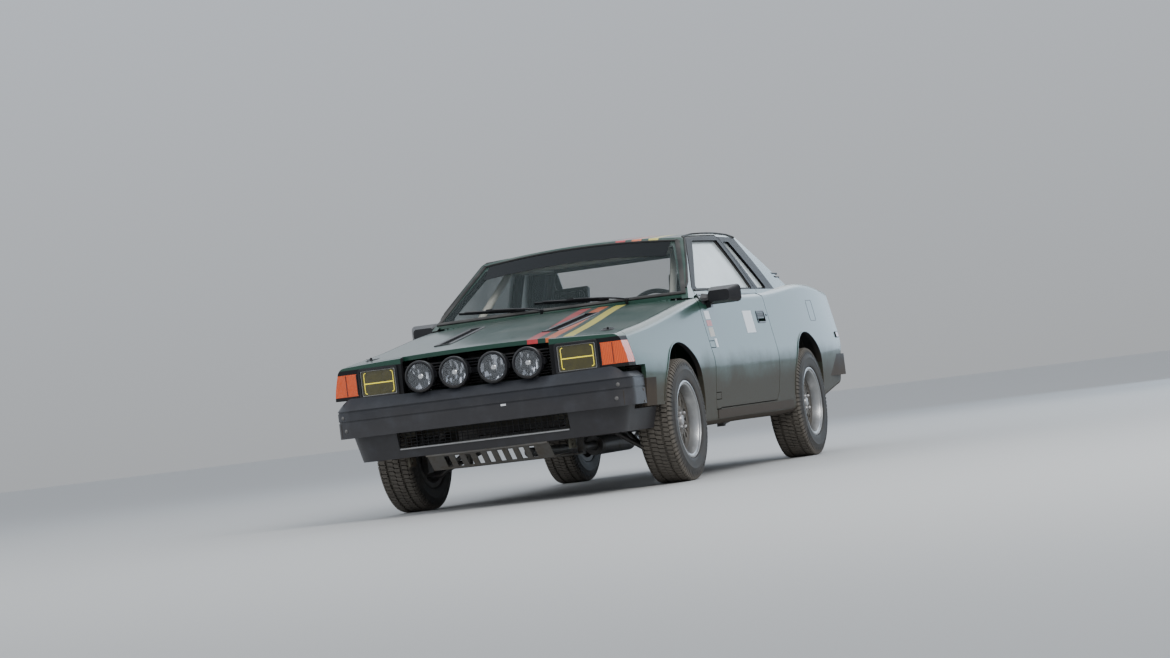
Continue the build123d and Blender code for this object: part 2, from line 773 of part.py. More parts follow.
with BuildPart() as nose_shell_form:
    add(lower_body)
    with BuildPart(mode=Mode.PRIVATE) as nose_hollow:
        add(lower_skin)
        add(plan_trim.moved(Location((-nose_depth, 0, 0))), mode=Mode.INTERSECT)
    add(nose_hollow.part, mode=Mode.SUBTRACT)
    add(block(0, nose_rear_station, -900, 900, 600, 1000), mode=Mode.INTERSECT)
nose_shell = nose_shell_form.part
with BuildPart() as nose_panel:
    add(nose_shell)
    add(block(0, nose_rear_station, -900, 900, 626, 1000), mode=Mode.INTERSECT)
    with BuildPart(mode=Mode.PRIVATE) as bonnet_gap:
        add(
            bowed_plan(
                bonnet_front_station - 8,
                400,
                bonnet_half_width + panel_gap,
                bow_at(nose_bow, 900, bonnet_half_width),
                1,
            )
        )
        add(block(0, 500, -900, 900, 745, 1000), mode=Mode.INTERSECT)
    add(bonnet_gap.part, mode=Mode.SUBTRACT)
    add(block(0, 200, -grille_half_width, grille_half_width, 600, 820), mode=Mode.SUBTRACT)
    add(block(130, 146, -grille_half_width - 40, grille_half_width + 40, 630, 766))
    for side in (-1, 1):
        add(corner_lamp_zone(side, joint_gap), mode=Mode.SUBTRACT)
        lamp = sorted((side * (lamp_y - lamp_width / 2), side * (lamp_y + lamp_width / 2)))
        add(block(30, 170, *lamp, lamp_z - lamp_height / 2, lamp_z + lamp_height / 2))
        inside = sorted((side * (lamp_y - lens_width / 2), side * (lamp_y + lens_width / 2)))
        add(block(0, 150, *inside, lamp_z - lens_height / 2, lamp_z + lens_height / 2), mode=Mode.SUBTRACT)
    add(plan_trim.moved(Location((6, 0, 0))), mode=Mode.INTERSECT)
save(nose_panel.part, "nose_panel")

with BuildPart() as headlamp_lenses:
    for side in (-1, 1):
        inside = sorted(
            (side * (lamp_y - lens_width / 2 + joint_gap), side * (lamp_y + lens_width / 2 - joint_gap))
        )
        half_height = lens_height / 2 - joint_gap
        add(block(20, 110, *inside, lamp_z - half_height, lamp_z + half_height))
    add(plan_trim.moved(Location((-4, 0, 0))), mode=Mode.INTERSECT)
save(headlamp_lenses.part, "headlamp_lenses")

# Four driving lamps on a bar in front of the grille
drive_lamp_ys = (-293, -106, 106, 293)
drive_lamp_z = 702
drive_lamp_radius = 78
drive_lens_radius = 69
drive_lamp_front = 20
drive_lamp_rear = 106
with BuildPart() as driving_lamps:
    for y in drive_lamp_ys:
        with BuildSketch(Plane.YZ.offset(at(drive_lamp_rear))):
            with Locations((y, drive_lamp_z)):
                Circle(drive_lamp_radius - 22)
        with BuildSketch(Plane.YZ.offset(at(drive_lamp_rear - 40))):
            with Locations((y, drive_lamp_z)):
                Circle(drive_lamp_radius)
        loft()
    for y in drive_lamp_ys:
        with BuildSketch(Plane.YZ.offset(at(drive_lamp_rear - 40))):
            with Locations((y, drive_lamp_z)):
                Circle(drive_lamp_radius)
        extrude(amount=drive_lamp_rear - 40 - drive_lamp_front)
        with BuildSketch(Plane.YZ.offset(at(drive_lamp_front + 22))):
            with Locations((y, drive_lamp_z)):
                Circle(drive_lens_radius)
        extrude(amount=40, mode=Mode.SUBTRACT)
    add(block(96, 124, -375, 375, drive_lamp_z - 14, drive_lamp_z + 14))
    for side in (-1, 1):
        add(block(96, 130 - joint_gap, *sorted((side * 340, side * 368)), drive_lamp_z - 14, drive_lamp_z + 14))
save(driving_lamps.part, "driving_lamps")

with BuildPart() as driving_lamp_lenses:
    with BuildSketch(Plane.YZ.offset(at(drive_lamp_front + 22 - joint_gap))):
        with Locations(*[(y, drive_lamp_z) for y in drive_lamp_ys]):
            Circle(drive_lens_radius - joint_gap)
    extrude(amount=14)
save(driving_lamp_lenses.part, "driving_lamp_lenses")

# Bumpers
bumper_widest = 806
bumper_wrap_station = 292
bumper_face_z = 430
bumper_shelf_z = 572
bumper_top_z = 636
bumper_shelf_lean = 40
bumper_nose_gap = 6.3
bumper_groove_depth = 4
bumper_grooves = [(512, 520), (562, 569)]  # low and high edge of each
front_bumper_bow = 36
bumper_corner = 110


def bumper_plan(face, wrap, half_width, bow, corner):
    """A plan outline with a bowed face and round corners, for an extrusion."""
    with BuildSketch(Plane.XY) as plan:
        with BuildLine():
            ThreePointArc((at(face + bow), -half_width), (at(face), 0), (at(face + bow), half_width))
            Polyline(
                (at(face + bow), half_width),
                (at(wrap), half_width),
                (at(wrap), -half_width),
                (at(face + bow), -half_width),
            )
        make_face()
        ends = plan.vertices().filter_by(lambda v: abs(v.X - at(face + bow)) < 1)
        fillet(ends, corner)
    return plan.sketch


chin_face = 26
chin_low_z = 300
chin_wall = 18
chin_lean = 14
chin_front_half = 745
chin_rear_half = 784
chin_rear_station = 566
chin_corner = 150
chin_rear_top_z = 408
intake_half_width = 465
intake_low_z = 350


def chin_plan(inset):
    """The valance in plan: its sides splay out to the wheel arches."""
    face = chin_face + inset
    front_half, rear_half = chin_front_half - inset, chin_rear_half - inset
    rear = chin_rear_station + 120
    with BuildSketch(Plane.XY) as plan:
        with BuildLine():
            ThreePointArc(
                (at(face + front_bumper_bow), -front_half), (at(face), 0), (at(face + front_bumper_bow), front_half)
            )
            Polyline(
                (at(face + front_bumper_bow), front_half),
                (at(rear), rear_half),
                (at(rear), -rear_half),
                (at(face + front_bumper_bow), -front_half),
            )
        make_face()
        ends = plan.vertices().filter_by(lambda v: abs(v.X - at(face + front_bumper_bow)) < 1)
        fillet(ends, chin_corner - inset)
    return plan.sketch


front_plan = bumper_plan(0, bumper_wrap_station, bumper_widest, front_bumper_bow, bumper_corner)
groove_floor_plan = bumper_plan(
    bumper_groove_depth,
    bumper_wrap_station + 60,
    bumper_widest - bumper_groove_depth,
    front_bumper_bow,
    bumper_corner - bumper_groove_depth,
)
with BuildPart() as front_bumper:
    with BuildSketch(Plane.XY.offset(bumper_face_z)):
        add(front_plan)
    extrude(amount=bumper_shelf_z - bumper_face_z)
    with BuildSketch(Plane.XY.offset(bumper_shelf_z)):
        add(front_plan)
    extrude(amount=bumper_top_z - bumper_shelf_z, taper=bumper_shelf_lean)
    add(block(90, 320, -752, 752, bumper_face_z - 10, 598), mode=Mode.SUBTRACT)
    add(block(200, 320, -900, 900, 598, 700), mode=Mode.SUBTRACT)
    with BuildPart(mode=Mode.PRIVATE) as nose_room:
        add(lower_outer)
        add(plan_trim.moved(Location((bumper_nose_gap, 0, 0))), mode=Mode.INTERSECT)
        add(block(-20, 400, -900, 900, 598, 700), mode=Mode.INTERSECT)
    add(nose_room.part, mode=Mode.SUBTRACT)
    for groove_low, groove_high in bumper_grooves:
        with BuildPart(mode=Mode.PRIVATE) as groove:
            with BuildSketch(Plane.XY.offset(groove_low)):
                add(offset(front_plan, 20))
                add(groove_floor_plan, mode=Mode.SUBTRACT)
            extrude(amount=groove_high - groove_low)
            add(block(-60, bumper_wrap_station - 8, -1000, 1000, 400, 700), mode=Mode.INTERSECT)
        add(groove.part, mode=Mode.SUBTRACT)
    with BuildPart(mode=Mode.PRIVATE) as chin:
        with BuildSketch(Plane.XY.offset(bumper_face_z + 4)):
            add(chin_plan(0))
        extrude(amount=-(bumper_face_z + 4 - chin_low_z), taper=chin_lean)
        with BuildPart(mode=Mode.PRIVATE) as chin_room:
            with BuildSketch(Plane.XY.offset(bumper_face_z + 4)):
                add(chin_plan(chin_wall))
            extrude(amount=-(bumper_face_z + 8 - chin_low_z), taper=chin_lean)
        add(chin_room.part, mode=Mode.SUBTRACT)
        add(block(chin_rear_station, 900, -900, 900, 200, 500), mode=Mode.SUBTRACT)
        add(block(250, 700, -900, 900, chin_rear_top_z, 500), mode=Mode.SUBTRACT)
        with BuildPart(mode=Mode.PRIVATE) as arch_room:
            add(side_cylinder(front_axle_x, arch_centre_front, arch_radius_front + 5, 560, 950))
            add(tyre_sweep(440))
            mirror(about=Plane.XZ)
        add(arch_room.part, mode=Mode.SUBTRACT)
        add(
            block(-10, 200, -intake_half_width, intake_half_width, intake_low_z, bumper_face_z),
            mode=Mode.SUBTRACT,
        )
    add(chin.part)
save(front_bumper.part, "front_bumper")

# Lamps at the front corners, wrapping on to the wings
with BuildPart() as corner_lamps:
    for side in (-1, 1):
        add(corner_lamp_zone(side, 0))
    add(nose_shell, mode=Mode.INTERSECT)
save(corner_lamps.part, "corner_lamps")

# Skid plate: a steep slotted face behind the valance, and a flat plate under the engine
skid_flange = (64, 92)
skid_foot = (160, 216)
skid_rear = (640, 206)
skid_thick = 8
skid_top_z = chin_low_z - joint_gap
skid_half_width = 330
skid_slots = 9
skid_pitch = 58
skid_slot_width = 28
with BuildPart() as skid_plate:
    with BuildSketch(Plane.XZ.offset(-skid_half_width)):
        with BuildLine():
            Polyline(
                (at(skid_flange[0]), skid_top_z - skid_thick),
                (at(skid_flange[1] - 4), skid_top_z - skid_thick),
                (at(skid_foot[0]), skid_foot[1]),
                (at(skid_rear[0]), skid_rear[1]),
                (at(skid_rear[0]), skid_rear[1] + skid_thick),
                (at(skid_foot[0] + 4), skid_foot[1] + skid_thick),
                (at(skid_flange[1]), skid_top_z),
                (at(skid_flange[0]), skid_top_z),
                close=True,
            )
        make_face()
    extrude(amount=2 * skid_half_width)
    for slot in range(skid_slots):
        middle = (slot - (skid_slots - 1) / 2) * skid_pitch
        add(
            block(
                60,
                200,
                middle - skid_slot_width / 2,
                middle + skid_slot_width / 2,
                skid_foot[1] + skid_thick + 4,
                skid_top_z - skid_thick - 8,
            ),
            mode=Mode.SUBTRACT,
        )
    for side in (-1, 1):
        hanger = sorted((side * 300, side * 326))
        add(block(600, 640, *hanger, skid_rear[1] + skid_thick / 2, 300))
save(skid_plate.part, "skid_plate")

# Boot, rear panel and boot lid
lid_front_station = 3492
lid_hinge_station = 3489
lid_hinge_z = 1041
lid_hinge_y = 210
lid_half_width = 640
lid_rear_station = 4322
deck_edge_station = 3480
lid_knuckle_radius = 9
lid_pin_radius = 4.5
tail_lamp_inner_y = 330
tail_lamp_outer_y = 660
tail_lamp_low_z = 740
tail_lamp_high_z = 890
plate_half_width = 262
plate_low_z = 712
plate_high_z = 872
plate_recess_depth = 14
tail_inner = plan_trim.moved(Location((24, 0, 0)))
with BuildPart() as boot_lid:
    add(lower_body)
    add(lower_skin, mode=Mode.SUBTRACT)
    add(block(lid_front_station, lid_rear_station, -lid_half_width, lid_half_width, 700, 1100), mode=Mode.INTERSECT)
    for side in (-1, 1):
        middle = side * lid_hinge_y
        for lug in (-1, 1):
            centre = middle + lug * 19
            add(block(3480, lid_hinge_station + 15, centre - 11, centre + 11, 900, 1100), mode=Mode.SUBTRACT)
        add(cross_drum(lid_hinge_station, lid_hinge_z, lid_knuckle_radius, middle - 7, middle + 7))
        add(block(lid_hinge_station, 3506, middle - 7, middle + 7, 1026, lid_hinge_z))
        add(
            cross_drum(lid_hinge_station, lid_hinge_z, lid_pin_radius + hinge_pin_play, middle - 10, middle + 10),
            mode=Mode.SUBTRACT,
        )
save(boot_lid.part, "boot_lid")

with BuildPart() as rear_structure:
    add(lower_body)
    with BuildPart(mode=Mode.PRIVATE) as boot_hollow:
        add(lower_skin)
        add(tail_inner, mode=Mode.INTERSECT)
    add(boot_hollow.part, mode=Mode.SUBTRACT)
    add(block(3400, 4440, -side_seam_y, side_seam_y, boot_z + floor_thick + joint_gap, 1100), mode=Mode.INTERSECT)
    add(block(deck_edge_station, 4330, -lid_half_width - panel_gap, lid_half_width + panel_gap, 960, 1100), mode=Mode.SUBTRACT)
    add(block(4200, 4440, -tail_lamp_outer_y, -tail_lamp_inner_y, tail_lamp_low_z, tail_lamp_high_z), mode=Mode.SUBTRACT)
    add(block(4200, 4440, tail_lamp_inner_y, tail_lamp_outer_y, tail_lamp_low_z, tail_lamp_high_z), mode=Mode.SUBTRACT)
    add(
        block(tail_station - plate_recess_depth, 4440, -plate_half_width, plate_half_width, plate_low_z, plate_high_z),
        mode=Mode.SUBTRACT,
    )
    with BuildPart(mode=Mode.PRIVATE) as rear_sill:
        add(upper_outer)
        add(rear_cut.moved(Location((60, 0, 0))), mode=Mode.INTERSECT)
        add(pillar_clear, mode=Mode.INTERSECT)
        add(
            block(3200, 3700, -side_seam_y, side_seam_y, 975, rear_glass_seat_z - joint_gap),
            mode=Mode.INTERSECT,
        )
    add(rear_sill.part)
    for side in (-1, 1):
        add(block(3390, 3466, *sorted((side * 664, side * 720)), 940, 1100), mode=Mode.SUBTRACT)
        middle = side * lid_hinge_y
        add(block(deck_edge_station - 7, deck_edge_station, middle - 13, middle + 13, 990, 1100), mode=Mode.SUBTRACT)
        for lug in (-1, 1):
            centre = middle + lug * 19
            add(cross_drum(lid_hinge_station, lid_hinge_z, lid_knuckle_radius, centre - 6, centre + 6))
            add(block(3468, lid_hinge_station, centre - 6, centre + 6, 1026, lid_hinge_z))
        add(cross_drum(lid_hinge_station, lid_hinge_z, lid_pin_radius, middle - 25, middle + 25))
save(rear_structure.part, "rear_structure")

with BuildPart() as tail_lamps:
    for side in (-1, 1):
        span = sorted((side * (tail_lamp_inner_y + joint_gap), side * (tail_lamp_outer_y - joint_gap)))
        add(block(4300, 4400, *span, tail_lamp_low_z + joint_gap, tail_lamp_high_z - joint_gap))
    add(plan_trim.moved(Location((4, 0, 0))), mode=Mode.INTERSECT)
    add(tail_inner, mode=Mode.SUBTRACT)
save(tail_lamps.part, "tail_lamps")

rear_bumper_plan = bumper_plan(length, 3884, 796, -30, 90)
with BuildPart() as rear_bumper:
    with BuildSketch(Plane.XY.offset(456)):
        add(rear_bumper_plan)
    extrude(amount=130)
    with BuildSketch(Plane.XY.offset(586)):
        add(rear_bumper_plan)
    extrude(amount=46, taper=45)
    add(block(3800, 4340, -748, 748, 440, 640), mode=Mode.SUBTRACT)
    add(lower_body, mode=Mode.SUBTRACT)
    add(block(3870, 4396, -752, 752, 440, 640), mode=Mode.SUBTRACT)
save(rear_bumper.part, "rear_bumper")

# Cabin: dashboard, wheel, seats and cage
steering_y = 370
steering_station = 2050
steering_z = 880
steering_rim_radius = 176
steering_rake = 22
steering_shaft_radius = 11
column_axis = Vector(-cos(radians(steering_rake)), 0, sin(radians(steering_rake)))


def along_column(distance):
    """A point on the steering column, ahead of the wheel's centre."""
    centre = Vector(at(steering_station), steering_y, steering_z)
    point = centre - column_axis * distance
    return (point.X, point.Y, point.Z)


def column_plane(distance):
    return Plane(origin=along_column(distance), x_dir=(0, 1, 0), z_dir=column_axis)


spoke_up = Vector(-column_axis.Z, 0, column_axis.X) * -1
with BuildPart() as steering_wheel:
    with Locations(Plane(origin=along_column(0), x_dir=spoke_up + Vector(0, 1, 0), z_dir=column_axis)):
        Torus(steering_rim_radius, 13)
    with BuildSketch(column_plane(24)):
        Circle(44)
    extrude(amount=36)
    for turn in (0, 180, 270):
        reach = Vector(0, cos(radians(turn)), 0) + spoke_up * sin(radians(turn))
        hub = Vector(*along_column(10)) + reach * 30
        end = Vector(*along_column(0)) + reach * (steering_rim_radius - 4)
        add(rod(hub, end, 8))
    with BuildSketch(column_plane(160)):
        Circle(steering_shaft_radius)
    extrude(amount=140)
save(steering_wheel.part, "steering_wheel")

with BuildPart() as dashboard:
    with BuildSketch(Plane.XZ.offset(-556)):
        with BuildLine():
            Polyline(
                (at(1502), 968),
                (at(1740), 968),
                (at(1800), 930),
                (at(1786), 760),
                (at(1700), 690),
                (at(1502), 700),
                close=True,
            )
        make_face()
    extrude(amount=1112)
    with BuildSketch(column_plane(420)):
        Circle(38)
    extrude(amount=420 - 60)
    with BuildSketch(column_plane(170)):
        Circle(steering_shaft_radius + 0.08)
    extrude(amount=140, mode=Mode.SUBTRACT)
    add(block(1399.3, 1502, -540, 540, 720, 740))
save(dashboard.part, "dashboard")

seat_y = 355
seat_half_width = 220
seat_hollow_half = 172
with BuildPart() as seats:
    for side in (-1, 1):
        y = side * seat_y
        with BuildSketch(Plane.XZ.offset(-(y - seat_half_width))):
            with BuildLine():
                Polyline(
                    (at(2030), floor_z + floor_thick + 90),
                    (at(2500), floor_z + floor_thick + 60),
                    (at(2690), 1000),
                    (at(2560), 1020),
                    (at(2440), 560),
                    (at(2060), 560),
                    close=True,
                )
            make_face()
        extrude(amount=-2 * seat_half_width)
        with BuildSketch(Plane.XZ.offset(-(y - seat_hollow_half))):
            with BuildLine():
                Polyline(
                    (at(1900), 470),
                    (at(2440), 430),
                    (at(2620), 1100),
                    (at(2300), 1100),
                    (at(1900), 700),
                    close=True,
                )
            make_face()
        extrude(amount=-2 * seat_hollow_half, mode=Mode.SUBTRACT)
        add(block(2080, 2470, y - 150, y + 150, floor_z + floor_thick + joint_gap, 440))
        with BuildSketch(Plane.XZ.offset(-(y - 110))):
            with BuildLine():
                Polyline(
                    (at(2640), 900), (at(2720), 1150), (at(2660), 1160), (at(2590), 1000), (at(2590), 900), close=True
                )
            make_face()
        extrude(amount=-220)
save(seats.part, "seats")

cage_radius = 20
hoop_station = 2790
cage_foot_z = floor_z + floor_thick + joint_gap
stay_foot_z = boot_z + floor_thick + joint_gap
cage_plate = 8
cage_nodes = {
    "hoop_foot": (at(hoop_station), 590, cage_foot_z + 4),
    "hoop_waist": (at(hoop_station), 604, 900),
    "hoop_top": (at(hoop_station), 492, 1270),
    "front_foot": (at(1560), 590, cage_foot_z + 4),
    "front_waist": (at(1560), 600, 900),
    "front_top": (at(2060), 492, 1260),
    "stay_foot": (at(3420), 520, stay_foot_z + 17),
    "door_rear": (at(hoop_station), 600, 560),
    "door_front": (at(1560), 596, 480),
}
cage_tubes = [
    ("hoop_foot", "hoop_waist"),
    ("hoop_waist", "hoop_top"),
    ("front_foot", "front_waist"),
    ("front_waist", "front_top"),
    ("front_top", "hoop_top"),
    ("hoop_top", "stay_foot"),
    ("door_front", "door_rear"),
]
with BuildPart() as roll_cage:
    for side in (-1, 1):
        for start, end in cage_tubes:
            (x1, y1, z1), (x2, y2, z2) = cage_nodes[start], cage_nodes[end]
            add(rod((x1, side * y1, z1), (x2, side * y2, z2), cage_radius))
        for name in ("hoop_waist", "hoop_top", "front_waist", "front_top"):
            x, y, z = cage_nodes[name]
            with Locations((x, side * y, z)):
                Sphere(cage_radius)
    for name in ("hoop_foot", "front_foot", "stay_foot"):
        x, y, z = cage_nodes[name]
        base = stay_foot_z if name == "stay_foot" else cage_foot_z
        for side in (-1, 1):
            inner = sorted((side * (y - 40), side * (y + 40)))
            add(block(nose_x - x - 45, nose_x - x + 45, *inner, base, base + cage_plate))
    for name in ("hoop_top", "front_top"):
        x, y, z = cage_nodes[name]
        add(rod((x, -y, z), (x, y, z), cage_radius))
    x, y, z = cage_nodes["hoop_top"]
    add(rod((x, y, z), (x, -560, 420), cage_radius))
    add(rod((at(1560), -596, 640), (at(1560), 596, 640), cage_radius))
save(roll_cage.part, "roll_cage")

# Running gear
spindle_radius = 21
hub_radius = 62
hub_inner_y = 700
spindle_end_y = front_wheel_y + 34
brake_radius = 132
brake_thick = 22
ball_pin_radius = 9
arm_end_z = 178
arm_knee_y = 590
knuckle_low_z = 198
strut_y = 566
strut_top_z = turret_top_z - 18

bead_y = 83 - joint_gap
with BuildPart() as tyre_form:
    with BuildSketch(Plane.XY) as tyre_profile:
        with BuildLine():
            FilletPolyline(
                (-bead_y, rim_bead_radius + joint_gap),
                (-bead_y, rim_lip_radius + 1),
                (-tyre_width / 2 + 5, rim_lip_radius + 4),
                (-tyre_width / 2, rim_bead_radius + 50),
                (-tread_width / 2, tyre_radius - 8),
                (-tread_width / 2 + 14, tyre_radius),
                (tread_width / 2 - 14, tyre_radius),
                (tread_width / 2, tyre_radius - 8),
                (tyre_width / 2, rim_bead_radius + 50),
                (tyre_width / 2 - 5, rim_lip_radius + 4),
                (bead_y, rim_lip_radius + 1),
                (bead_y, rim_bead_radius + joint_gap),
                (bead_y - tyre_wall, rim_bead_radius + joint_gap),
                (tyre_width / 2 - tyre_wall, rim_bead_radius + 50),
                (tread_width / 2 - tyre_wall, tyre_radius - 26),
                (-tread_width / 2 + tyre_wall, tyre_radius - 26),
                (-tyre_width / 2 + tyre_wall, rim_bead_radius + 50),
                (-bead_y + tyre_wall, rim_bead_radius + joint_gap),
                radius=1.4,
                close=True,
            )
        make_face()
    revolve(axis=Axis.X)
tyre = tyre_form.part.rotate(Axis.Z, 90)

rim_barrel_radius = 172
with BuildPart() as rim_form:
    with BuildSketch(Plane.XY) as rim_profile:
        with BuildLine():
            Polyline(
                (-94, rim_barrel_radius),
                (-94, rim_lip_radius),
                (-87, rim_lip_radius),
                (-83, rim_bead_radius),
                (83, rim_bead_radius),
                (87, rim_lip_radius),
                (94, rim_lip_radius),
                (94, rim_lip_radius - 12),
                (86, rim_barrel_radius + 8),
                (40, rim_barrel_radius),
                (26, 100),
                (44, 60),
                (44, 0),
                (28, 0),
                (28, hub_radius),
                (14, hub_radius),
                (12, 96),
                (22, rim_barrel_radius),
                close=True,
            )
        make_face()
    revolve(axis=Axis.X)
rim_disc = rim_form.part.rotate(Axis.Z, 90)

wheel_bore_radius = spindle_radius + hinge_pin_play
wheel_slots = 16
with BuildPart() as rim_left_form:
    add(rim_disc)
    with BuildSketch(Plane.XZ.offset(-60)):
        with PolarLocations(134, wheel_slots):
            SlotOverall(52, 18)
    extrude(amount=100, mode=Mode.SUBTRACT)
    # The hub carrier and its brake disc behind the wheel's centre
    with BuildSketch(Plane.XZ.offset(-28)):
        Circle(hub_radius)
    extrude(amount=50)
    with BuildSketch(Plane.XZ.offset(22)):
        Circle(brake_radius)
    extrude(amount=brake_thick)
    with BuildSketch(Plane.XZ.offset(-36)):
        Circle(wheel_bore_radius)
    extrude(amount=100, mode=Mode.SUBTRACT)
rim_left = rim_left_form.part
with BuildPart() as rim_right_form:
    mirror(rim_left, about=Plane.XZ)
rim_right = rim_right_form.part

wheels = [
    ("fl", front_axle_x, front_wheel_y, rim_left),
    ("fr", front_axle_x, -front_wheel_y, rim_right),
    ("rl", rear_axle_x, rear_wheel_y, rim_left),
    ("rr", rear_axle_x, -rear_wheel_y, rim_right),
]
for corner, x, y, rim in wheels:
    with BuildPart() as tyre_piece:
        add(tyre.moved(Location((x, y, wheel_z))))
    save(tyre_piece.part, f"tyre_{corner}")
    with BuildPart() as rim_piece:
        add(rim.moved(Location((x, y, wheel_z))))
    save(rim_piece.part, f"rim_{corner}")

# Front knuckle: spindle, carrier round the brake disc and the strut above it
carrier_outer_y = front_wheel_y - 44 - 5.5
with BuildPart() as knuckle_left:
    add(cross_drum(front_overhang, wheel_z, spindle_radius, carrier_outer_y - 30, spindle_end_y))
    add(cross_drum(front_overhang, wheel_z, 48, carrier_outer_y - 34, carrier_outer_y))
    add(block(front_overhang - 34, front_overhang + 34, carrier_outer_y - 34, carrier_outer_y, knuckle_low_z, 420))
    add(block(front_overhang - 20, front_overhang + 20, strut_y - 24, carrier_outer_y, 390, 420))
    add(rod((front_axle_x, strut_y, 370), (front_axle_x, strut_y, strut_top_z), 25))
    with BuildSketch(Plane.XY.offset(560)):
        with Locations((front_axle_x, strut_y)):
            Circle(56)
    extrude(amount=8)
    for ring in range(6):
        with Locations((front_axle_x, strut_y, 590 + ring * 36)):
            Torus(48, 7)
        with BuildSketch(Plane.XY.offset(560 + ring * 36 + 6)):
            with Locations((front_axle_x, strut_y)):
                Circle(48)
                Circle(30, mode=Mode.SUBTRACT)
        extrude(amount=36)
    # The bore of the lower ball joint
    with BuildSketch(Plane.XY.offset(knuckle_low_z - 10)):
        with Locations((front_axle_x, knuckle_y)):
            Circle(ball_pin_radius + hinge_pin_play)
    extrude(amount=40, mode=Mode.SUBTRACT)
save(knuckle_left.part, "knuckle_left")
with BuildPart() as knuckle_right:
    mirror(knuckle_left.part, about=Plane.XZ)
save(knuckle_right.part, "knuckle_right")

# Crossmember with the lower arms and their ball pins
with BuildPart() as front_crossmember:
    add(block(850, 950, -400, 400, 300, 360))
    for side in (-1, 1):
        add(block(880, 920, *sorted((side * 150, side * 210)), 350, 366 - joint_gap))
    for side in (-1, 1):
        span = sorted((side * 340, side * 452))
        add(block(860, 940, *span, 340, rail_z - joint_gap))
        knee = (at(897), side * arm_knee_y, arm_end_z)
        add(rod((at(890), side * 380, 322), knee, 13))
        with Locations(knee):
            Sphere(13)
        add(rod(knee, (at(900), side * knuckle_y, arm_end_z), 13))
        add(rod((at(1180), side * 380, 300), (at(899), side * 560, arm_end_z + 21), 12))
        ball = (front_axle_x, side * knuckle_y)
        add(rod((*ball, arm_end_z - 8), (*ball, knuckle_low_z + 24), ball_pin_radius))
    add(block(1150, 1200, -400, 400, 286, 320))
    add(block(940, 1200, -380, -340, 300, 330))
    add(block(940, 1200, 340, 380, 300, 330))
save(front_crossmember.part, "front_crossmember")

# Engine and gearbox as one plain block
with BuildPart() as engine_block:
    add(block(560, 1180, -230, 230, 366, 800))
    add(block(1180, 1370, -150, 150, 330, 640))
save(engine_block.part, "engine_block")

# Live rear axle with its drums' backplates and spindle ends
axle_flange_y = rear_wheel_y - 44 - 5.5
with BuildPart() as rear_axle:
    add(cross_drum(3400, wheel_z, 38, -axle_flange_y, axle_flange_y))
    add(cross_drum(3400, wheel_z, spindle_radius, -rear_wheel_y - 34, rear_wheel_y + 34))
    with Locations((rear_axle_x, 0, wheel_z)):
        Sphere(105)
save(rear_axle.part, "rear_axle")

with BuildPart() as rear_links:
    for side in (-1, 1):
        add(rod((at(3330), side * 400, 306), (at(2860), side * 400, floor_z - 28), 14))
        add(block(2840, 2880, *sorted((side * 380, side * 420)), floor_z - 42, floor_z - joint_gap))
        add(rod((at(3400), side * 470, wheel_z + 38 + joint_gap), (at(3400), side * 470, boot_z - joint_gap), 40))
save(rear_links.part, "rear_links")

with BuildPart() as propshaft:
    add(rod((at(1373), 0, 376), (at(3294), 0, wheel_z), 34))
save(propshaft.part, "propshaft")

with BuildPart() as exhaust:
    add(rod((at(1220), -200, 240), (at(2310), -200, 222), 26))
    add(rod((at(2300), -200, 222), (at(2900), -200, 222), 55))
    add(rod((at(2890), -200, 222), (at(3480), -330, 222), 26))
    add(block(2590, 2610, -206, -194, 270, floor_z - joint_gap))
    add(rod((at(3480), -330, 222), (at(4330), -470, 396), 26))
    with Locations((at(3480), -330, 222)):
        Sphere(26)
save(exhaust.part, "exhaust")

with BuildPart() as fuel_tank:
    add(block(3620, 4180, -300, 300, 466.5, 700))
save(fuel_tank.part, "fuel_tank")

# Mirrors on the doors
with BuildPart() as mirror_left:
    with BuildSketch(Plane.YZ.offset(at(1652))):
        with Locations((876, 964)):
            RectangleRounded(186, 96, 24)
    with BuildSketch(Plane.YZ.offset(at(1566))):
        with Locations((866, 960)):
            RectangleRounded(120, 60, 20)
    loft()
    add(block(1590, 1630, 772, 810, 900, 950))
    add(lower_body, mode=Mode.SUBTRACT)
    add(upper_outer, mode=Mode.SUBTRACT)
save(mirror_left.part, "mirror_left")
with BuildPart() as mirror_right:
    mirror(mirror_left.part, about=Plane.XZ)
save(mirror_right.part, "mirror_right")

# Wipers
with BuildPart() as wipers:
    for pivot_y in (-60, 420):
        x = at(1302 + bow_at(screen_bow, screen_half_chord, pivot_y))
        add(rod((x, pivot_y, 892.3), (x, pivot_y, 992), 9))
        tip_y = pivot_y - 330
        tip_x = at(1322 + bow_at(screen_bow, screen_half_chord, tip_y) + 66)
        add(rod((x, pivot_y, 990), (tip_x, tip_y, 1034), 6))
save(wipers.part, "wipers")

print("all pieces done")
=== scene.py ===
"""Looks for a 1980s notchback coupe built for rallying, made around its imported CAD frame.

Everything is in metres in the CAD's frame: +X forward, +Y the car's left, +Z up, with the
origin on the ground midway between the bumpers. A "station" is a distance back from the nose.
"""

import math

import bmesh
import bpy
from mathutils import Matrix, Vector
from mathutils.bvhtree import BVHTree


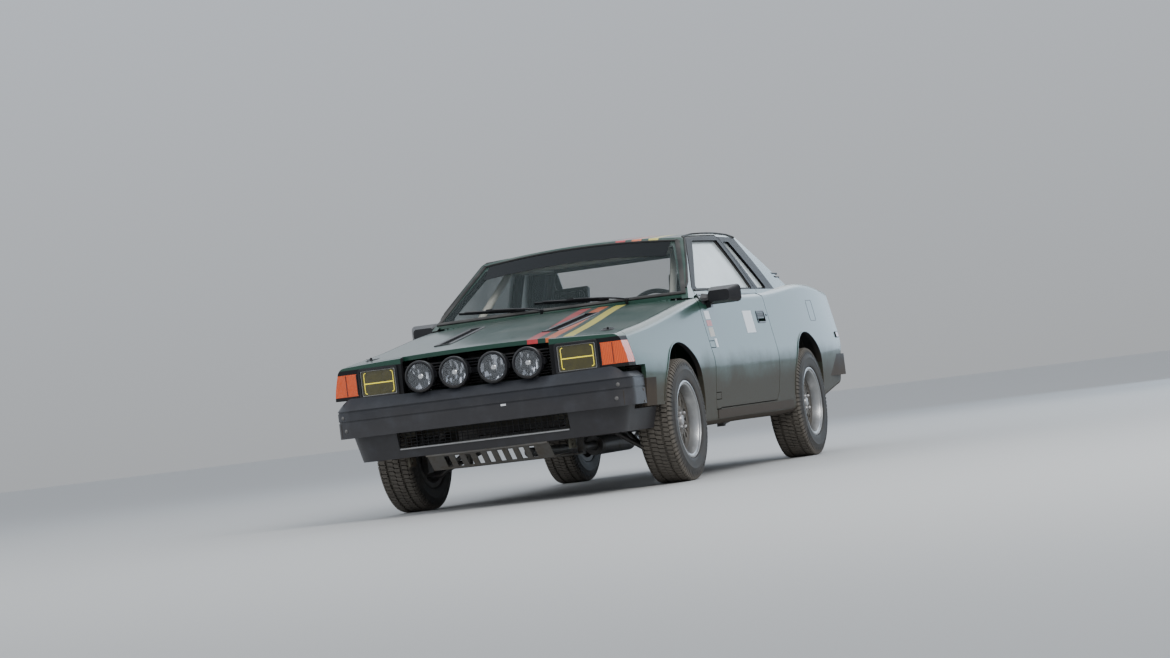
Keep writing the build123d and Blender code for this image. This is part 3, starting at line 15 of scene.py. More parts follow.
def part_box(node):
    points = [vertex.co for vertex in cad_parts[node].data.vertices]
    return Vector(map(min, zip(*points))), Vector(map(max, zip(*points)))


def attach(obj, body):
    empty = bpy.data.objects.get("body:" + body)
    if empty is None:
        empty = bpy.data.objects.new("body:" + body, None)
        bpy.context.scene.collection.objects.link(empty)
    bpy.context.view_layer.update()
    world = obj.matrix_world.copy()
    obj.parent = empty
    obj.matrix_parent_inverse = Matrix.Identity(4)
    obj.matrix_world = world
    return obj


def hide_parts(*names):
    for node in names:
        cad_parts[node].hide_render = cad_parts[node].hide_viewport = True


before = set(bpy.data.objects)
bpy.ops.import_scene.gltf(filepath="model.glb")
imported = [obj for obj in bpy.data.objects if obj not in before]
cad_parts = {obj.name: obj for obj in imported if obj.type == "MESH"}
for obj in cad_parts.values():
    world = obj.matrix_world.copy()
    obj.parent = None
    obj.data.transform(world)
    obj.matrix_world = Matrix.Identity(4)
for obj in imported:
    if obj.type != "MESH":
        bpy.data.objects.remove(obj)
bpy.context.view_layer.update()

NOSE_X = 2.22
FRONT_AXLE_X = 1.32
REAR_AXLE_X = -1.18
WHEEL_Z = 0.32
FRONT_WHEEL_Y = 0.732
REAR_WHEEL_Y = 0.725
# The wheels, by their place in x and y
CORNERS = {
    "fl": (FRONT_AXLE_X, FRONT_WHEEL_Y),
    "fr": (FRONT_AXLE_X, -FRONT_WHEEL_Y),
    "rl": (REAR_AXLE_X, REAR_WHEEL_Y),
    "rr": (REAR_AXLE_X, -REAR_WHEEL_Y),
}
SIDES = {"left": 1, "right": -1}


def at(station):
    """The x of a distance back from the nose, both in metres."""
    return NOSE_X - station


def linked(name, data):
    """A new object of some data, in the scene."""
    made = bpy.data.objects.new(name, data)
    bpy.context.scene.collection.objects.link(made)
    return made


# The camera stands ahead of the left headlamp, near the ground and slightly rolled
CAMERA_PLACE = Vector((17.409, 5.88, 0.441))
CAMERA_VIEW = Vector((-0.9448, -0.3268, 0.0243)).normalized()
CAMERA_ROLL = math.radians(-6.96)
CAMERA_LENS = 99.48


def make_camera():
    right = CAMERA_VIEW.cross(Vector((0, 0, 1))).normalized()
    up = right.cross(CAMERA_VIEW)
    turned_right = right * math.cos(CAMERA_ROLL) + up * math.sin(CAMERA_ROLL)
    turned_up = up * math.cos(CAMERA_ROLL) - right * math.sin(CAMERA_ROLL)
    data = bpy.data.cameras.new("camera")
    data.lens = CAMERA_LENS
    data.sensor_width = 36
    data.clip_end = 400
    camera = linked("camera", data)
    axes = Matrix((turned_right, turned_up, -CAMERA_VIEW)).transposed().to_4x4()
    camera.matrix_world = Matrix.Translation(CAMERA_PLACE) @ axes
    bpy.context.scene.camera = camera


make_camera()


# Shader maths
class Value:
    """A node's socket. Python's operators on it add Math nodes."""

    def __init__(self, finish, socket):
        self.finish = finish
        self.socket = socket

    def maths(self, operation, *values, clamp=False):
        return self.finish.node(
            "ShaderNodeMath", {"operation": operation, "use_clamp": clamp}, dict(enumerate(values))
        )

    def __add__(self, other):
        return self.maths("ADD", self, other)

    __radd__ = __add__

    def __sub__(self, other):
        return self.maths("SUBTRACT", self, other)

    def __rsub__(self, other):
        return self.maths("SUBTRACT", other, self)

    def __mul__(self, other):
        return self.maths("MULTIPLY", self, other)

    __rmul__ = __mul__

    def __pow__(self, other):
        return self.maths("POWER", self, other)

    def __abs__(self):
        return self.maths("ABSOLUTE", self)

    def __lt__(self, other):
        return self.maths("LESS_THAN", self, other)

    def __gt__(self, other):
        return self.maths("GREATER_THAN", self, other)

    def clamped(self):
        return self.maths("ADD", self, 0.0, clamp=True)

    def wave(self):
        return self.maths("SINE", self)

    def sign(self):
        return self.maths("SIGN", self)

    def ramp(self, low, high):
        """0 below low, 1 above high and smooth between. Low may be above high."""
        return self.finish.node(
            "ShaderNodeMapRange",
            {"interpolation_type": "SMOOTHSTEP", "clamp": True},
            {"Value": self, "From Min": low, "From Max": high},
        )


class Finish:
    """One material: a Principled shader and the nodes that feed it."""

    def __init__(self, name, **constants):
        self.material = bpy.data.materials.new(name)
        self.material.use_nodes = True
        self.tree = self.material.node_tree
        self.tree.nodes.clear()
        self.output = self.tree.nodes.new("ShaderNodeOutputMaterial")
        self.shader = self.tree.nodes.new("ShaderNodeBsdfPrincipled")
        self.tree.links.new(self.shader.outputs[0], self.output.inputs[0])
        place = self.tree.nodes.new("ShaderNodeTexCoord")
        self.place = Value(self, place.outputs["Object"])
        split = self.tree.nodes.new("ShaderNodeSeparateXYZ")
        self.tree.links.new(place.outputs["Object"], split.inputs[0])
        self.x, self.y, self.z = (Value(self, split.outputs[i]) for i in range(3))
        self.set(**constants)

    def put(self, value, socket):
        if isinstance(value, Value):
            self.tree.links.new(value.socket, socket)
        elif socket.type == "RGBA" and len(value) == 3:
            socket.default_value = (*value, 1)
        else:
            socket.default_value = value

    def set(self, **values):
        """Sets the shader's sockets: base_color is Base Color, and so on."""
        for name, value in values.items():
            label = " ".join(word.upper() if word == "ior" else word.capitalize() for word in name.split("_"))
            self.put(value, self.shader.inputs[label])

    def node(self, kind, settings=None, sockets=None, output=0):
        made = self.tree.nodes.new(kind)
        for setting, value in (settings or {}).items():
            setattr(made, setting, value)
        for key, value in (sockets or {}).items():
            self.put(value, made.inputs[key])
        return Value(self, made.outputs[output])

    def noise(self, scale, detail=3, roughness=0.5):
        return self.node(
            "ShaderNodeTexNoise",
            {"noise_dimensions": "3D"},
            {"Vector": self.place, "Scale": scale, "Detail": detail, "Roughness": roughness},
        )

    def cells(self, scale, vector=None, output=0):
        """Cells in space: output 0 is the distance in each, output 1 its random colour."""
        sockets = {"Vector": vector or self.place, "Scale": scale}
        return self.node("ShaderNodeTexVoronoi", {"feature": "F1"}, sockets, output)

    def mix(self, factor, first, second):
        return self.node(
            "ShaderNodeMix", {"data_type": "RGBA"}, {0: factor, 6: first, 7: second}, output=2
        )

    def scaled(self, factors):
        return self.node("ShaderNodeVectorMath", {"operation": "MULTIPLY"}, {0: self.place, 1: factors})

    def facing(self, axis):
        """The surface's outward direction along x, y or z (0, 1 or 2)."""
        normal = self.node("ShaderNodeNewGeometry", output=1)
        return self.node("ShaderNodeSeparateXYZ", None, {0: normal}, output=axis)

    def facing_up(self):
        """1 where the surface faces up, 0 where it is upright or faces down."""
        return self.facing(2).ramp(0.25, 0.95)

    def facing_inward(self):
        """1 on faces that look down or towards the car's middle, where the paint lays painted shade."""
        inward = self.facing(1) * self.y.sign() < -0.3
        return (inward + (self.facing(2) < -0.45)).clamped()

    def bump(self, height, strength, distance=0.001):
        sockets = {"Strength": strength, "Distance": distance, "Height": height}
        self.set(normal=self.node("ShaderNodeBump", None, sockets))

    def dusted(self, colour, roughness, amount=1.0):
        """Adds road dust: brown and matt low on the car, pale where it settles on top."""
        patch = self.noise(3.1, 5, 0.62)
        speckle = self.noise(55, 3, 0.7)
        low = (self.z + (patch - 0.5) * 0.22).ramp(0.68, 0.47)
        settled = self.facing_up() * patch.ramp(0.35, 0.75) * 0.3
        dirt = (low * (0.66 + speckle * 0.34) * amount).clamped()
        self.set(
            base_color=self.mix(dirt, self.mix(settled * amount, colour, DUST_PALE), DUST_BROWN),
            roughness=(roughness + dirt * 0.5 + settled * 0.28).clamped(),
        )
        return dirt


DUST_BROWN = (0.066, 0.052, 0.039)
DUST_PALE = (0.3, 0.29, 0.27)
GREEN = (0.012, 0.052, 0.034)
RED = (0.62, 0.018, 0.03)
ORANGE = (0.8, 0.135, 0.012)
YELLOW = (0.8, 0.7, 0.09)
MATT_BLACK = (0.006, 0.006, 0.007)
# The colour of the painted shade on inner and lower faces
PAINTED_INSIDE_SHADE = (0.014, 0.015, 0.016)

# Stripes run back over the bonnet and the roof on the car's left. Columns: colour, and the
# middle of the stripe at the bonnet's front, at its back and on the roof
STRIPE_HALF = 0.028
STRIPES = [
    (RED, 0.304, 0.206, 0.238),
    (ORANGE, 0.402, 0.303, 0.332),
    (YELLOW, 0.496, 0.397, 0.43),
]
BONNET_FRONT = 0.1
BONNET_BACK = 1.3

# The bonnet's vents: station and distance from the middle at each end, and half the width
VENT_FRONT = (0.4, 0.3)
VENT_REAR = (1.0, 0.327)
VENT_HALF = 0.029

# Where black begins: the foot of the nose and of the wings' front ends, and the doors' window frames
NOSE_BLACK_Z = 0.779
WING_BLACK_Z = 0.556
WING_BLACK_STATION = 0.44
BELT_Z = 1.0015
QUARTER_TOP_Z = 1.322


def black_part(finish, where):
    """1 on the black parts of the nose, the wings, the doors or the sides round their windows."""
    if where == "nose":
        return finish.z < NOSE_BLACK_Z
    if where == "wing":
        return (finish.z < WING_BLACK_Z) * (finish.x > at(WING_BLACK_STATION))
    above = finish.z > BELT_Z
    if where == "door":
        return above
    forward_edge = at(2.66) + (finish.z - 1.0) * 0.534
    rear_edge = at(3.095) + (finish.z - 1.0) * 0.727
    return above * (finish.x < forward_edge) * (finish.x > rear_edge) * (finish.z < QUARTER_TOP_Z)


def vent_shade_and_black(finish):
    """1 over the two vents in the bonnet and a narrow edge round them: black over the vents' floor is painted
    shade inside them, and the edge is matt black.
    """
    lean = (VENT_REAR[1] - VENT_FRONT[1]) / (VENT_REAR[0] - VENT_FRONT[0])
    middle = (at(VENT_FRONT[0]) - finish.x) * lean + VENT_FRONT[1]
    across = abs(abs(finish.y) - middle) < VENT_HALF + 0.012
    return across * (finish.x < at(VENT_FRONT[0])) * (finish.x > at(VENT_REAR[0]))


def paint(name, stripes=None, black=None, shaded_inside=True):
    """Green paint with stripes on the bonnet or the roof, some parts black, and painted shade on its inner
    and lower faces.
    """
    finish = Finish(name, coat_roughness=0.12, coat_ior=1.4, specular_ior_level=0.22)
    flake = finish.noise(900, 2, 0.6)
    tint = finish.mix(finish.noise(1.2, 2) * 0.5, GREEN, (0.016, 0.062, 0.046))
    colour = finish.mix(flake * 0.12, tint, (0.05, 0.12, 0.09))
    if stripes:
        for stripe, front, back, roof in STRIPES:
            if stripes == "bonnet":
                slope = (front - back) / (BONNET_BACK - BONNET_FRONT)
                middle = (finish.x - at(BONNET_FRONT)) * slope + front
            else:
                middle = roof
            wobble = (finish.noise(260, 2) - 0.5) * 0.001
            on = abs(finish.y - middle + wobble) < STRIPE_HALF
            colour = finish.mix(on, colour, finish.mix(finish.noise(30, 4) * 0.3, stripe, DUST_PALE))
    gloss, roughness = 0.6, 0.3
    # Coats and painted shade over the green: where each one is, its colour and how much rougher it is
    coats_and_shade = []
    # Over the vents: painted shade inside them and a matt black edge
    if stripes == "bonnet":
        coats_and_shade.append((vent_shade_and_black(finish), MATT_BLACK, 0.3))
    # Painted shade: faces that look inward or down are darkened as if in shadow
    if shaded_inside:
        coats_and_shade.append((finish.facing_inward(), PAINTED_INSIDE_SHADE, 0.45))
    if black:
        coats_and_shade.append((black_part(finish, black), MATT_BLACK, 0.22))
    for where, coat, rougher in coats_and_shade:
        colour = finish.mix(where, colour, coat)
        gloss, roughness = (1 - where) * gloss, where * rougher + roughness
    dirt = finish.dusted(colour, roughness)
    finish.set(coat_weight=((1 - dirt) * gloss).clamped(), metallic=0.0)
    finish.bump(finish.noise(380, 2, 0.5), 0.05, 0.0006)
    return finish.material


def plastic(name, colour=(0.022, 0.024, 0.028), roughness=0.46, grain=420, dust=1.0):
    finish = Finish(name, specular_ior_level=0.36)
    worn = finish.noise(9, 5, 0.6)
    base = finish.mix(worn.ramp(0.45, 0.8) * 0.35, colour, tuple(c * 2.6 + 0.012 for c in colour))
    finish.dusted(base, roughness, dust)
    finish.bump(finish.cells(grain), 0.18, 0.0008)
    return finish.material


def rubber(name, colour=(0.018, 0.018, 0.018)):
    finish = Finish(name, specular_ior_level=0.35)
    finish.dusted(finish.mix(finish.noise(40, 4) * 0.5, colour, (0.05, 0.047, 0.042)), 0.62)
    finish.bump(finish.noise(200, 3), 0.15, 0.0006)
    return finish.material


def tyre_rubber(name, centre):
    """Dark rubber with tan dust packed on the tread and thinner on the walls."""
    finish = Finish(name, specular_ior_level=0.3)
    dx, dz = finish.x - centre[0], finish.z - centre[2]
    reach = (dx * dx + dz * dz) ** 0.5
    on_tread = reach.ramp(0.285, 0.312)
    patch = finish.noise(13, 5, 0.65)
    fine = finish.noise(120, 3, 0.7)
    dust = (on_tread * 0.75 + 0.2 + (patch - 0.5) * 0.9 + (fine - 0.5) * 0.3).clamped()
    wall = finish.mix(fine * 0.4, (0.022, 0.022, 0.023), (0.05, 0.048, 0.045))
    finish.set(
        base_color=finish.mix(dust * 0.72, wall, (0.165, 0.146, 0.122)),
        roughness=(0.58 + dust * 0.34).clamped(),
    )
    rings = ((reach * 1500).wave() * 0.5 + 0.5) * (1 - on_tread)
    finish.bump(rings * 0.4 + fine, 0.25, 0.0009)
    return finish.material


def alloy(name, colour=(0.5, 0.49, 0.47), roughness=0.34, dirty=0.8):
    finish = Finish(name, metallic=0.85)
    patch = finish.noise(16, 5, 0.65)
    fine = finish.noise(190, 3, 0.6)
    grime = (patch.ramp(0.42, 0.72) * dirty).clamped()
    bare = finish.mix(fine * 0.3, colour, (0.36, 0.35, 0.33))
    finish.set(
        base_color=finish.mix(grime * 0.75, bare, (0.17, 0.145, 0.115)),
        roughness=(roughness + grime * 0.4 + fine * 0.08).clamped(),
    )
    finish.bump(fine, 0.1, 0.0005)
    return finish.material


def reflector(name):
    """A plated dish cut into facets, some of them painted dark as a painted reflection of the dark road and
    trees.
    """
    finish = Finish(name, metallic=1.0)
    stretched = finish.scaled((1, 1, 0.4))
    facet = finish.cells(88, stretched)
    pick = finish.node("ShaderNodeSeparateXYZ", None, {0: finish.cells(88, stretched, output=1)})
    # Facets painted dark: a painted reflection of the dark road and trees
    dark = pick.ramp(0.88, 0.74)
    finish.set(
        base_color=finish.mix(dark, (0.46, 0.48, 0.53), (0.014, 0.016, 0.02)),
        roughness=(facet * 0.2 + 0.1).clamped(),
    )
    finish.bump(facet, 0.35, 0.001)
    return finish.material


def steel(name, colour=(0.16, 0.155, 0.15), roughness=0.5, rust=0.5):
    finish = Finish(name, metallic=0.6)
    patch = finish.noise(11, 6, 0.7)
    fine = finish.noise(150, 3, 0.6)
    brown = (patch.ramp(0.5, 0.75) * rust).clamped()
    bare = finish.mix(fine * 0.4, colour, (0.09, 0.085, 0.08))
    finish.set(
        base_color=finish.mix(brown, bare, (0.13, 0.085, 0.055)),
        roughness=(roughness + brown * 0.35).clamped(),
    )
    finish.bump(fine * 0.6 + patch * 0.4, 0.2, 0.001)
    return finish.material


def glass(name, tint=(0.78, 0.86, 0.84), haze=0.16, alpha=0.3, colour=(0.55, 0.6, 0.6), shine=0.5):
    """Thin glass: mostly see-through, with a haze of dust that catches the light."""
    finish = Finish(name, specular_ior_level=shine, ior=1.45)
    patch = finish.noise(4.5, 6, 0.65)
    fine = finish.noise(240, 3, 0.7)
    film = (haze * (0.5 + patch) + fine * haze * 0.4).clamped()
    finish.set(
        base_color=finish.mix(film, tint, colour),
        roughness=(0.04 + film * 0.35).clamped(),
        alpha=(alpha + film * 0.8).clamped(),
    )
    return finish.material


def fabric(name, colour=(0.02, 0.02, 0.023), thread=(0.055, 0.055, 0.06)):
    finish = Finish(name, sheen_weight=0.35, sheen_roughness=0.5, specular_ior_level=0.25)
    across = (finish.x * 2400).wave() * 0.5 + 0.5
    along = ((finish.y + finish.z) * 2400).wave() * 0.5 + 0.5
    weave = across * along
    finish.set(
        base_color=finish.mix(weave * 0.45, colour, finish.mix(finish.noise(7, 4), thread, DUST_BROWN)),
        roughness=(0.82 + weave * 0.12).clamped(),
    )
    finish.bump(weave, 0.1, 0.0006)
    return finish.material


def lens(name, colour, deep, flutes=0.0, painted_glow=0.0):
    """A moulded lens with upright flutes over a reflector, with a painted glow where one is given: emission
    as painted light, though no lamp is lit.
    """
    finish = Finish(name, specular_ior_level=0.6, coat_weight=0.8, coat_roughness=0.04)
    ribs = ((finish.y + finish.x * 0.4) * flutes).wave() * 0.5 + 0.5 if flutes else finish.noise(40)
    patch = finish.noise(22, 4, 0.6)
    finish.set(
        base_color=finish.mix((ribs * 0.55 + patch * 0.35).clamped(), deep, colour),
        roughness=(0.12 + patch * 0.18).clamped(),
    )
    # Painted glow: emission that lights the lens from within
    if painted_glow:
        finish.set(emission_color=finish.mix(ribs, deep, colour), emission_strength=painted_glow)
    finish.bump(ribs, 0.45, 0.002)
    return finish.material


def flat_paint(name, colour, shade=None, rear=None):
    """Paint in two close tones. On the cage another pair begins at the main hoop."""
    finish = Finish(name, coat_weight=0.4, coat_roughness=0.2)
    patch = finish.noise(14, 5, 0.6)
    coat = finish.mix(patch * 0.45, colour, shade or tuple(c * 0.62 for c in colour))
    if rear:
        coat = finish.mix(finish.x < at(MAIN_HOOP_STATION), coat, finish.mix(patch * 0.45, *rear))
    finish.set(base_color=coat, roughness=(0.34 + patch * 0.2).clamped())
    finish.bump(finish.noise(260, 2), 0.08, 0.0006)
    return finish.material


MAIN_HOOP_STATION = 2.76
CAGE_CREAM = [(0.66, 0.65, 0.56), (0.42, 0.4, 0.34)]
CAGE_DARK = [(0.03, 0.031, 0.034), (0.06, 0.058, 0.054)]

MATERIALS = {
    "paint": paint("green_paint"),
    "paint_bonnet": paint("green_paint_bonnet", "bonnet", shaded_inside=False),
    "paint_roof": paint("green_paint_roof", "roof"),
    "plastic": plastic("grained_black_plastic"),
    "bumper": plastic("bumper_plastic", (0.019, 0.022, 0.029), 0.32, 520, 0.3),
    "intake": plastic("intake_mesh", (0.008, 0.008, 0.009), 0.6, 700, 0.0),
    "smooth_plastic": plastic("smooth_black_plastic", (0.012, 0.012, 0.014), 0.28, 900),
    "rubber": rubber("seal_rubber"),
    "alloy": alloy("cast_alloy", (0.115, 0.105, 0.092), 0.5, 0.8),
    "alloy_lip": alloy("machined_alloy", (0.42, 0.425, 0.43), 0.26, 0.3),
    "alloy_plate": alloy("scuffed_plate", (0.1, 0.095, 0.088), 0.52, 0.9),
    "chrome": alloy("plated_reflector", (0.86, 0.87, 0.88), 0.08, 0.1),
    "reflector": reflector("faceted_reflector"),
    "steel": steel("dark_steel"),
    "cast": steel("cast_block", (0.11, 0.105, 0.1), 0.6, 0.4),
    "disc": steel("brake_disc", (0.42, 0.41, 0.4), 0.3, 0.3),
    "floor": flat_paint("floor_paint", (0.06, 0.06, 0.062)),
    "cage": flat_paint("cage_paint", *CAGE_CREAM, rear=CAGE_DARK),
    "glass": glass("screen_glass", (0.1, 0.13, 0.13), haze=0.018, alpha=0.1, shine=0.22),
    "tint": glass("sun_strip_film", (0.007, 0.009, 0.01), 0.02, 0.88, (0.03, 0.036, 0.038), shine=0.16),
    "paint_edge": paint("green_paint_edge"),
    "paint_door": paint("green_paint_door", black="door"),
    "paint_sides": paint("green_paint_sides", black="sides"),
    "paint_nose": paint("green_paint_nose", black="nose"),
    "paint_wing": paint("green_paint_wing", black="wing"),
    "rear_glass": glass("dusty_rear_glass", (0.3, 0.36, 0.36), haze=0.06, alpha=0.14, shine=0.4),
    "side_glass": glass("dusty_side_glass", haze=0.34, alpha=0.34, colour=(0.62, 0.66, 0.68)),
    "lamp_glass": glass("lamp_glass", (0.5, 0.52, 0.54), 0.02, 0.07, shine=0.4),
    "yellow_film": lens("yellow_film", (0.085, 0.07, 0.004), (0.022, 0.02, 0.004)),
    # The headlamps' yellow edges glow brightly: a painted glint
    "yellow_edge_glint": lens("yellow_edge_glint", (0.98, 0.84, 0.06), (0.85, 0.7, 0.04), 0, 0.55),
    # The amber and red lenses glow a little: painted light in them
    "amber": lens("amber_lens", (0.84, 0.115, 0.003), (0.46, 0.04, 0.002), 760, 0.1),
    "red_lens": lens("red_lens", (0.5, 0.012, 0.012), (0.16, 0.004, 0.004), 420, 0.03),
    "seat": fabric("seat_cloth"),
    "harness": fabric("harness_web", (0.1, 0.012, 0.012), (0.28, 0.03, 0.03)),
    "dash": plastic("dash_plastic", (0.016, 0.016, 0.018), 0.55, 300),
    "blank": flat_paint("blank_sticker", (0.78, 0.79, 0.8)),
    "blank_red": flat_paint("blank_sticker_red", (0.52, 0.09, 0.07)),
    "blank_tan": flat_paint("blank_sticker_tan", (0.48, 0.42, 0.32)),
    "clear_lens": lens("clear_lens", (0.75, 0.74, 0.72), (0.42, 0.42, 0.41), 420),
    "seat_shell": plastic("seat_shell", (0.014, 0.014, 0.015), 0.5, 700),
    "dial": flat_paint("dial_face", (0.03, 0.03, 0.034)),
}

NODE_MATERIALS = {
    "bonnet": "paint_bonnet",
    "roof_panel": "paint_roof",
    "body_sides": "paint_sides",
    "door_left": "paint_door",
    "door_right": "paint_door",
    "nose_panel": "paint_nose",
    "front_wings": "paint_wing",
    "front_bumper": "bumper",
    "rear_bumper": "plastic",
    "skid_plate": "alloy_plate",
    "headlamp_lenses": "yellow_film",
    "corner_lamps": "amber",
    "tail_lamps": "red_lens",
    "driving_lamps": "smooth_plastic",
    "driving_lamp_lenses": "chrome",
    "windscreen": "glass",
    "rear_window": "rear_glass",
    "quarter_windows": "side_glass",
    "door_glass_left": "side_glass",
    "door_glass_right": "side_glass",
    "roll_cage": "cage",
    "seats": "seat",
    "dashboard": "dash",
    "steering_wheel": "dash",
    "engine_block": "cast",
    "floor_pan": "floor",
    "wipers": "smooth_plastic",
    "mirror_left": "smooth_plastic",
    "mirror_right": "smooth_plastic",
}
STEEL_NODES = [
    "front_crossmember", "rear_axle", "rear_links", "propshaft", "exhaust", "fuel_tank",
    "knuckle_left", "knuckle_right",
]
NODE_MATERIALS.update(dict.fromkeys(STEEL_NODES, "steel"))


def dress(piece, key):
    piece.data.materials.clear()
    piece.data.materials.append(MATERIALS[key] if isinstance(key, str) else key)


for node_name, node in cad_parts.items():
    if node_name.startswith("rim_"):
        dress(node, "alloy")
    elif node_name.startswith("tyre_"):
        x, y = CORNERS[node_name[-2:]]
        dress(node, tyre_rubber("tyre_rubber_" + node_name[-2:], (x, y, WHEEL_Z)))
    else:
        dress(node, NODE_MATERIALS.get(node_name, "paint"))


# Making meshes
PIN_HOLE = 0.0002  # the least radius of a turned form, where its profile meets the axis


def rings_joined(b, rings, loop=False):
    """Joins rings of points into a skin, and closes its ends unless it is a loop."""
    rows = [[b.verts.new(point) for point in ring] for ring in rings]
    count = len(rows[0])
    for i in range(len(rows) - (0 if loop else 1)):
        low, high = rows[i], rows[(i + 1) % len(rows)]
        for j in range(count):
            k = (j + 1) % count
            b.faces.new((low[j], low[k], high[k], high[j]))
    if not loop:
        b.faces.new(rows[0][::-1])
        b.faces.new(rows[-1])


def turned(b, profile, centre=(0, 0, 0), axis=(0, 1, 0), segments=48):
    """Turns a closed profile of (along, radius) points about an axis."""
    axis = Vector(axis).normalized()
    side = axis.orthogonal().normalized()
    other = axis.cross(side)
    rings = []
    for i in range(segments):
        angle = math.tau * i / segments
        out = side * math.cos(angle) + other * math.sin(angle)
        ring = [Vector(centre) + axis * along + out * max(radius, PIN_HOLE) for along, radius in profile]
        rings.append(ring)
    rings_joined(b, rings, loop=True)


def smooth_way(points, steps=6):
    """More points along a smooth line through some points."""
    points = [Vector(point) for point in points]
    count = len(points)
    way = []
    for i in range(count - 1):
        p1, p2 = points[i], points[i + 1]
        p0 = points[i - 1] if i else p1 * 2 - p2
        p3 = points[i + 2] if i + 2 < count else p2 * 2 - p1
        for step in range(steps):
            t = step / steps
            way.append(
                ((p1 * 2) + (p2 - p0) * t + (p0 * 2 - p1 * 5 + p2 * 4 - p3) * t * t
                 + (p1 * 3 - p0 - p2 * 3 + p3) * t ** 3) / 2
            )
    way.append(points[-1])
    return way


def tube(b, way, radius, sides=10):
    """A round bar along a line of points, with one radius or a list of them."""
    way = [Vector(point) for point in way]
    count = len(way)
    radii = radius if isinstance(radius, list) else [radius] * count
    rings = []
    out = None
    for i in range(count):
        before, after = way[max(i - 1, 0)], way[min(i + 1, count - 1)]
        along = (after - before).normalized()
        out = along.orthogonal() if out is None else out - along * out.dot(along)
        out.normalize()
        other = along.cross(out)
        ring = []
        for k in range(sides):
            angle = math.tau * k / sides
            ring.append(way[i] + (out * math.cos(angle) + other * math.sin(angle)) * radii[i])
        rings.append(ring)
    rings_joined(b, rings)


def strip(b, spots, half_width, height, sink=0.002, closed=False, crown=0.7):
    """A raised band along (place, outward) pairs, with its edges eased."""
    count = len(spots)
    shoulder = height * 0.55
    section = [(-1, -sink), (-1, shoulder), (-crown, height), (crown, height), (1, shoulder), (1, -sink)]
    rings = []
    for i, (place, out) in enumerate(spots):
        before = spots[i - 1][0] if closed or i else place
        after = spots[(i + 1) % count][0] if closed or i + 1 < count else place
        across = out.cross((after - before).normalized()).normalized()
        rings.append([place + across * (half_width * w) + out * h for w, h in section])
    rings_joined(b, rings, loop=closed)


def slab(b, outline, push):
    """A flat plate: an outline of points pushed along a vector."""
    push = Vector(push)
    rings_joined(b, [[Vector(p) for p in outline], [Vector(p) + push for p in outline]])


def brick(b, centre, size, turn=None):
    """A block with its middle, its size and a rotation."""
    half = Vector(size) / 2
    turn = turn or Matrix.Identity(3)
    corners = [(-1, -1), (1, -1), (1, 1), (-1, 1)]
    rings = []
    for z in (-1, 1):
        ring = [turn @ Vector((x * half.x, y * half.y, z * half.z)) for x, y in corners]
        rings.append([Vector(centre) + corner for corner in ring])
    rings_joined(b, rings)


def rounded(corners, radius):
    """A closed outline with each corner eased by a curve."""
    steps = 5
    corners = [Vector(corner) for corner in corners]
    outline = []
    for i, corner in enumerate(corners):
        before = (corners[i - 1] - corner).normalized() * radius
        after = (corners[(i + 1) % len(corners)] - corner).normalized() * radius
        for step in range(steps + 1):
            t = step / steps
            outline.append(
                (corner + before) * (1 - t) ** 2 + corner * (2 * t * (1 - t)) + (corner + after) * t * t
            )
    return outline


def divided(points, step, closed=True):
    """Points along an outline with no gap above a step."""
    way = []
    for i, point in enumerate(points):
        way.append(Vector(point))
        if closed or i + 1 < len(points):
            after = Vector(points[(i + 1) % len(points)])
            parts = int((after - Vector(point)).length / step)
            way += [Vector(point).lerp(after, (k + 1) / (parts + 1)) for k in range(parts)]
    return way


def rectangle(low, high, radius, step=0.02):
    """A rounded rectangle's outline between two opposite corners."""
    return divided(rounded([low, (high[0], low[1]), high, (low[0], high[1])], radius), step)


def net(b, rows):
    """Joins rows of points into an open sheet, and gives its vertices."""
    made = [[b.verts.new(point) for point in row] for row in rows]
    for low, high in zip(made, made[1:]):
        for i in range(len(low) - 1):
            b.faces.new((low[i], low[i + 1], high[i + 1], high[i]))
    return made


def piece(name, body, b, finish, smooth=38, bevel=0.0, slot="plastic_black", replaces=(), weld=True):
    """Makes an object of a mesh, gives it its finish and fixes it to a body."""
    if weld:
        bmesh.ops.remove_doubles(b, verts=b.verts, dist=0.00001)
    bmesh.ops.recalc_face_normals(b, faces=b.faces)
    mesh = bpy.data.meshes.new(name)
    b.to_mesh(mesh)
    b.free()
    mesh.shade_smooth()
    mesh.set_sharp_from_angle(angle=math.radians(smooth))
    made = linked(name, mesh)
    if bevel:
        edges = made.modifiers.new("edges", "BEVEL")
        edges.width = bevel
        edges.segments = 2
        edges.limit_method = "ANGLE"
        edges.angle_limit = math.radians(40)
    dress(made, finish)
    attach(made, body)
    if replaces:
        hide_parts(*replaces)


# Finding the CAD's surfaces, so that trim sits on them
def skin(*names):
    """A tree of the faces of some CAD nodes, for rays to find."""
    points, faces = [], []
    for name in names:
        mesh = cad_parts[name].data
        first = len(points)
        points += [v.co.copy() for v in mesh.vertices]
        mesh.calc_loop_triangles()
        faces += [[first + i for i in triangle.vertices] for triangle in mesh.loop_triangles]
    return BVHTree.FromPolygons(points, faces)


def found(tree, start, way):
    """Where a ray meets a skin, as a (place, outward) pair, or None."""
    place, normal, _, _ = tree.ray_cast(Vector(start), Vector(way))
    if place is None:
        return None
    return place, normal if normal.dot(Vector(way)) < 0 else -normal


def from_side(tree, station, z, side):
    return found(tree, (at(station), side * 1.3, z), (0, -side, 0))


def from_above(tree, station, y):
    return found(tree, (at(station), y, 1.7), (0, 0, -1))


def from_front(tree, y, z):
    return found(tree, (3, y, z), (-1, 0, 0))


def from_behind(tree, y, z):
    return found(tree, (-3, y, z), (1, 0, 0))


def out_of(spots, distance):
    return [(place + out * distance, out) for place, out in spots]


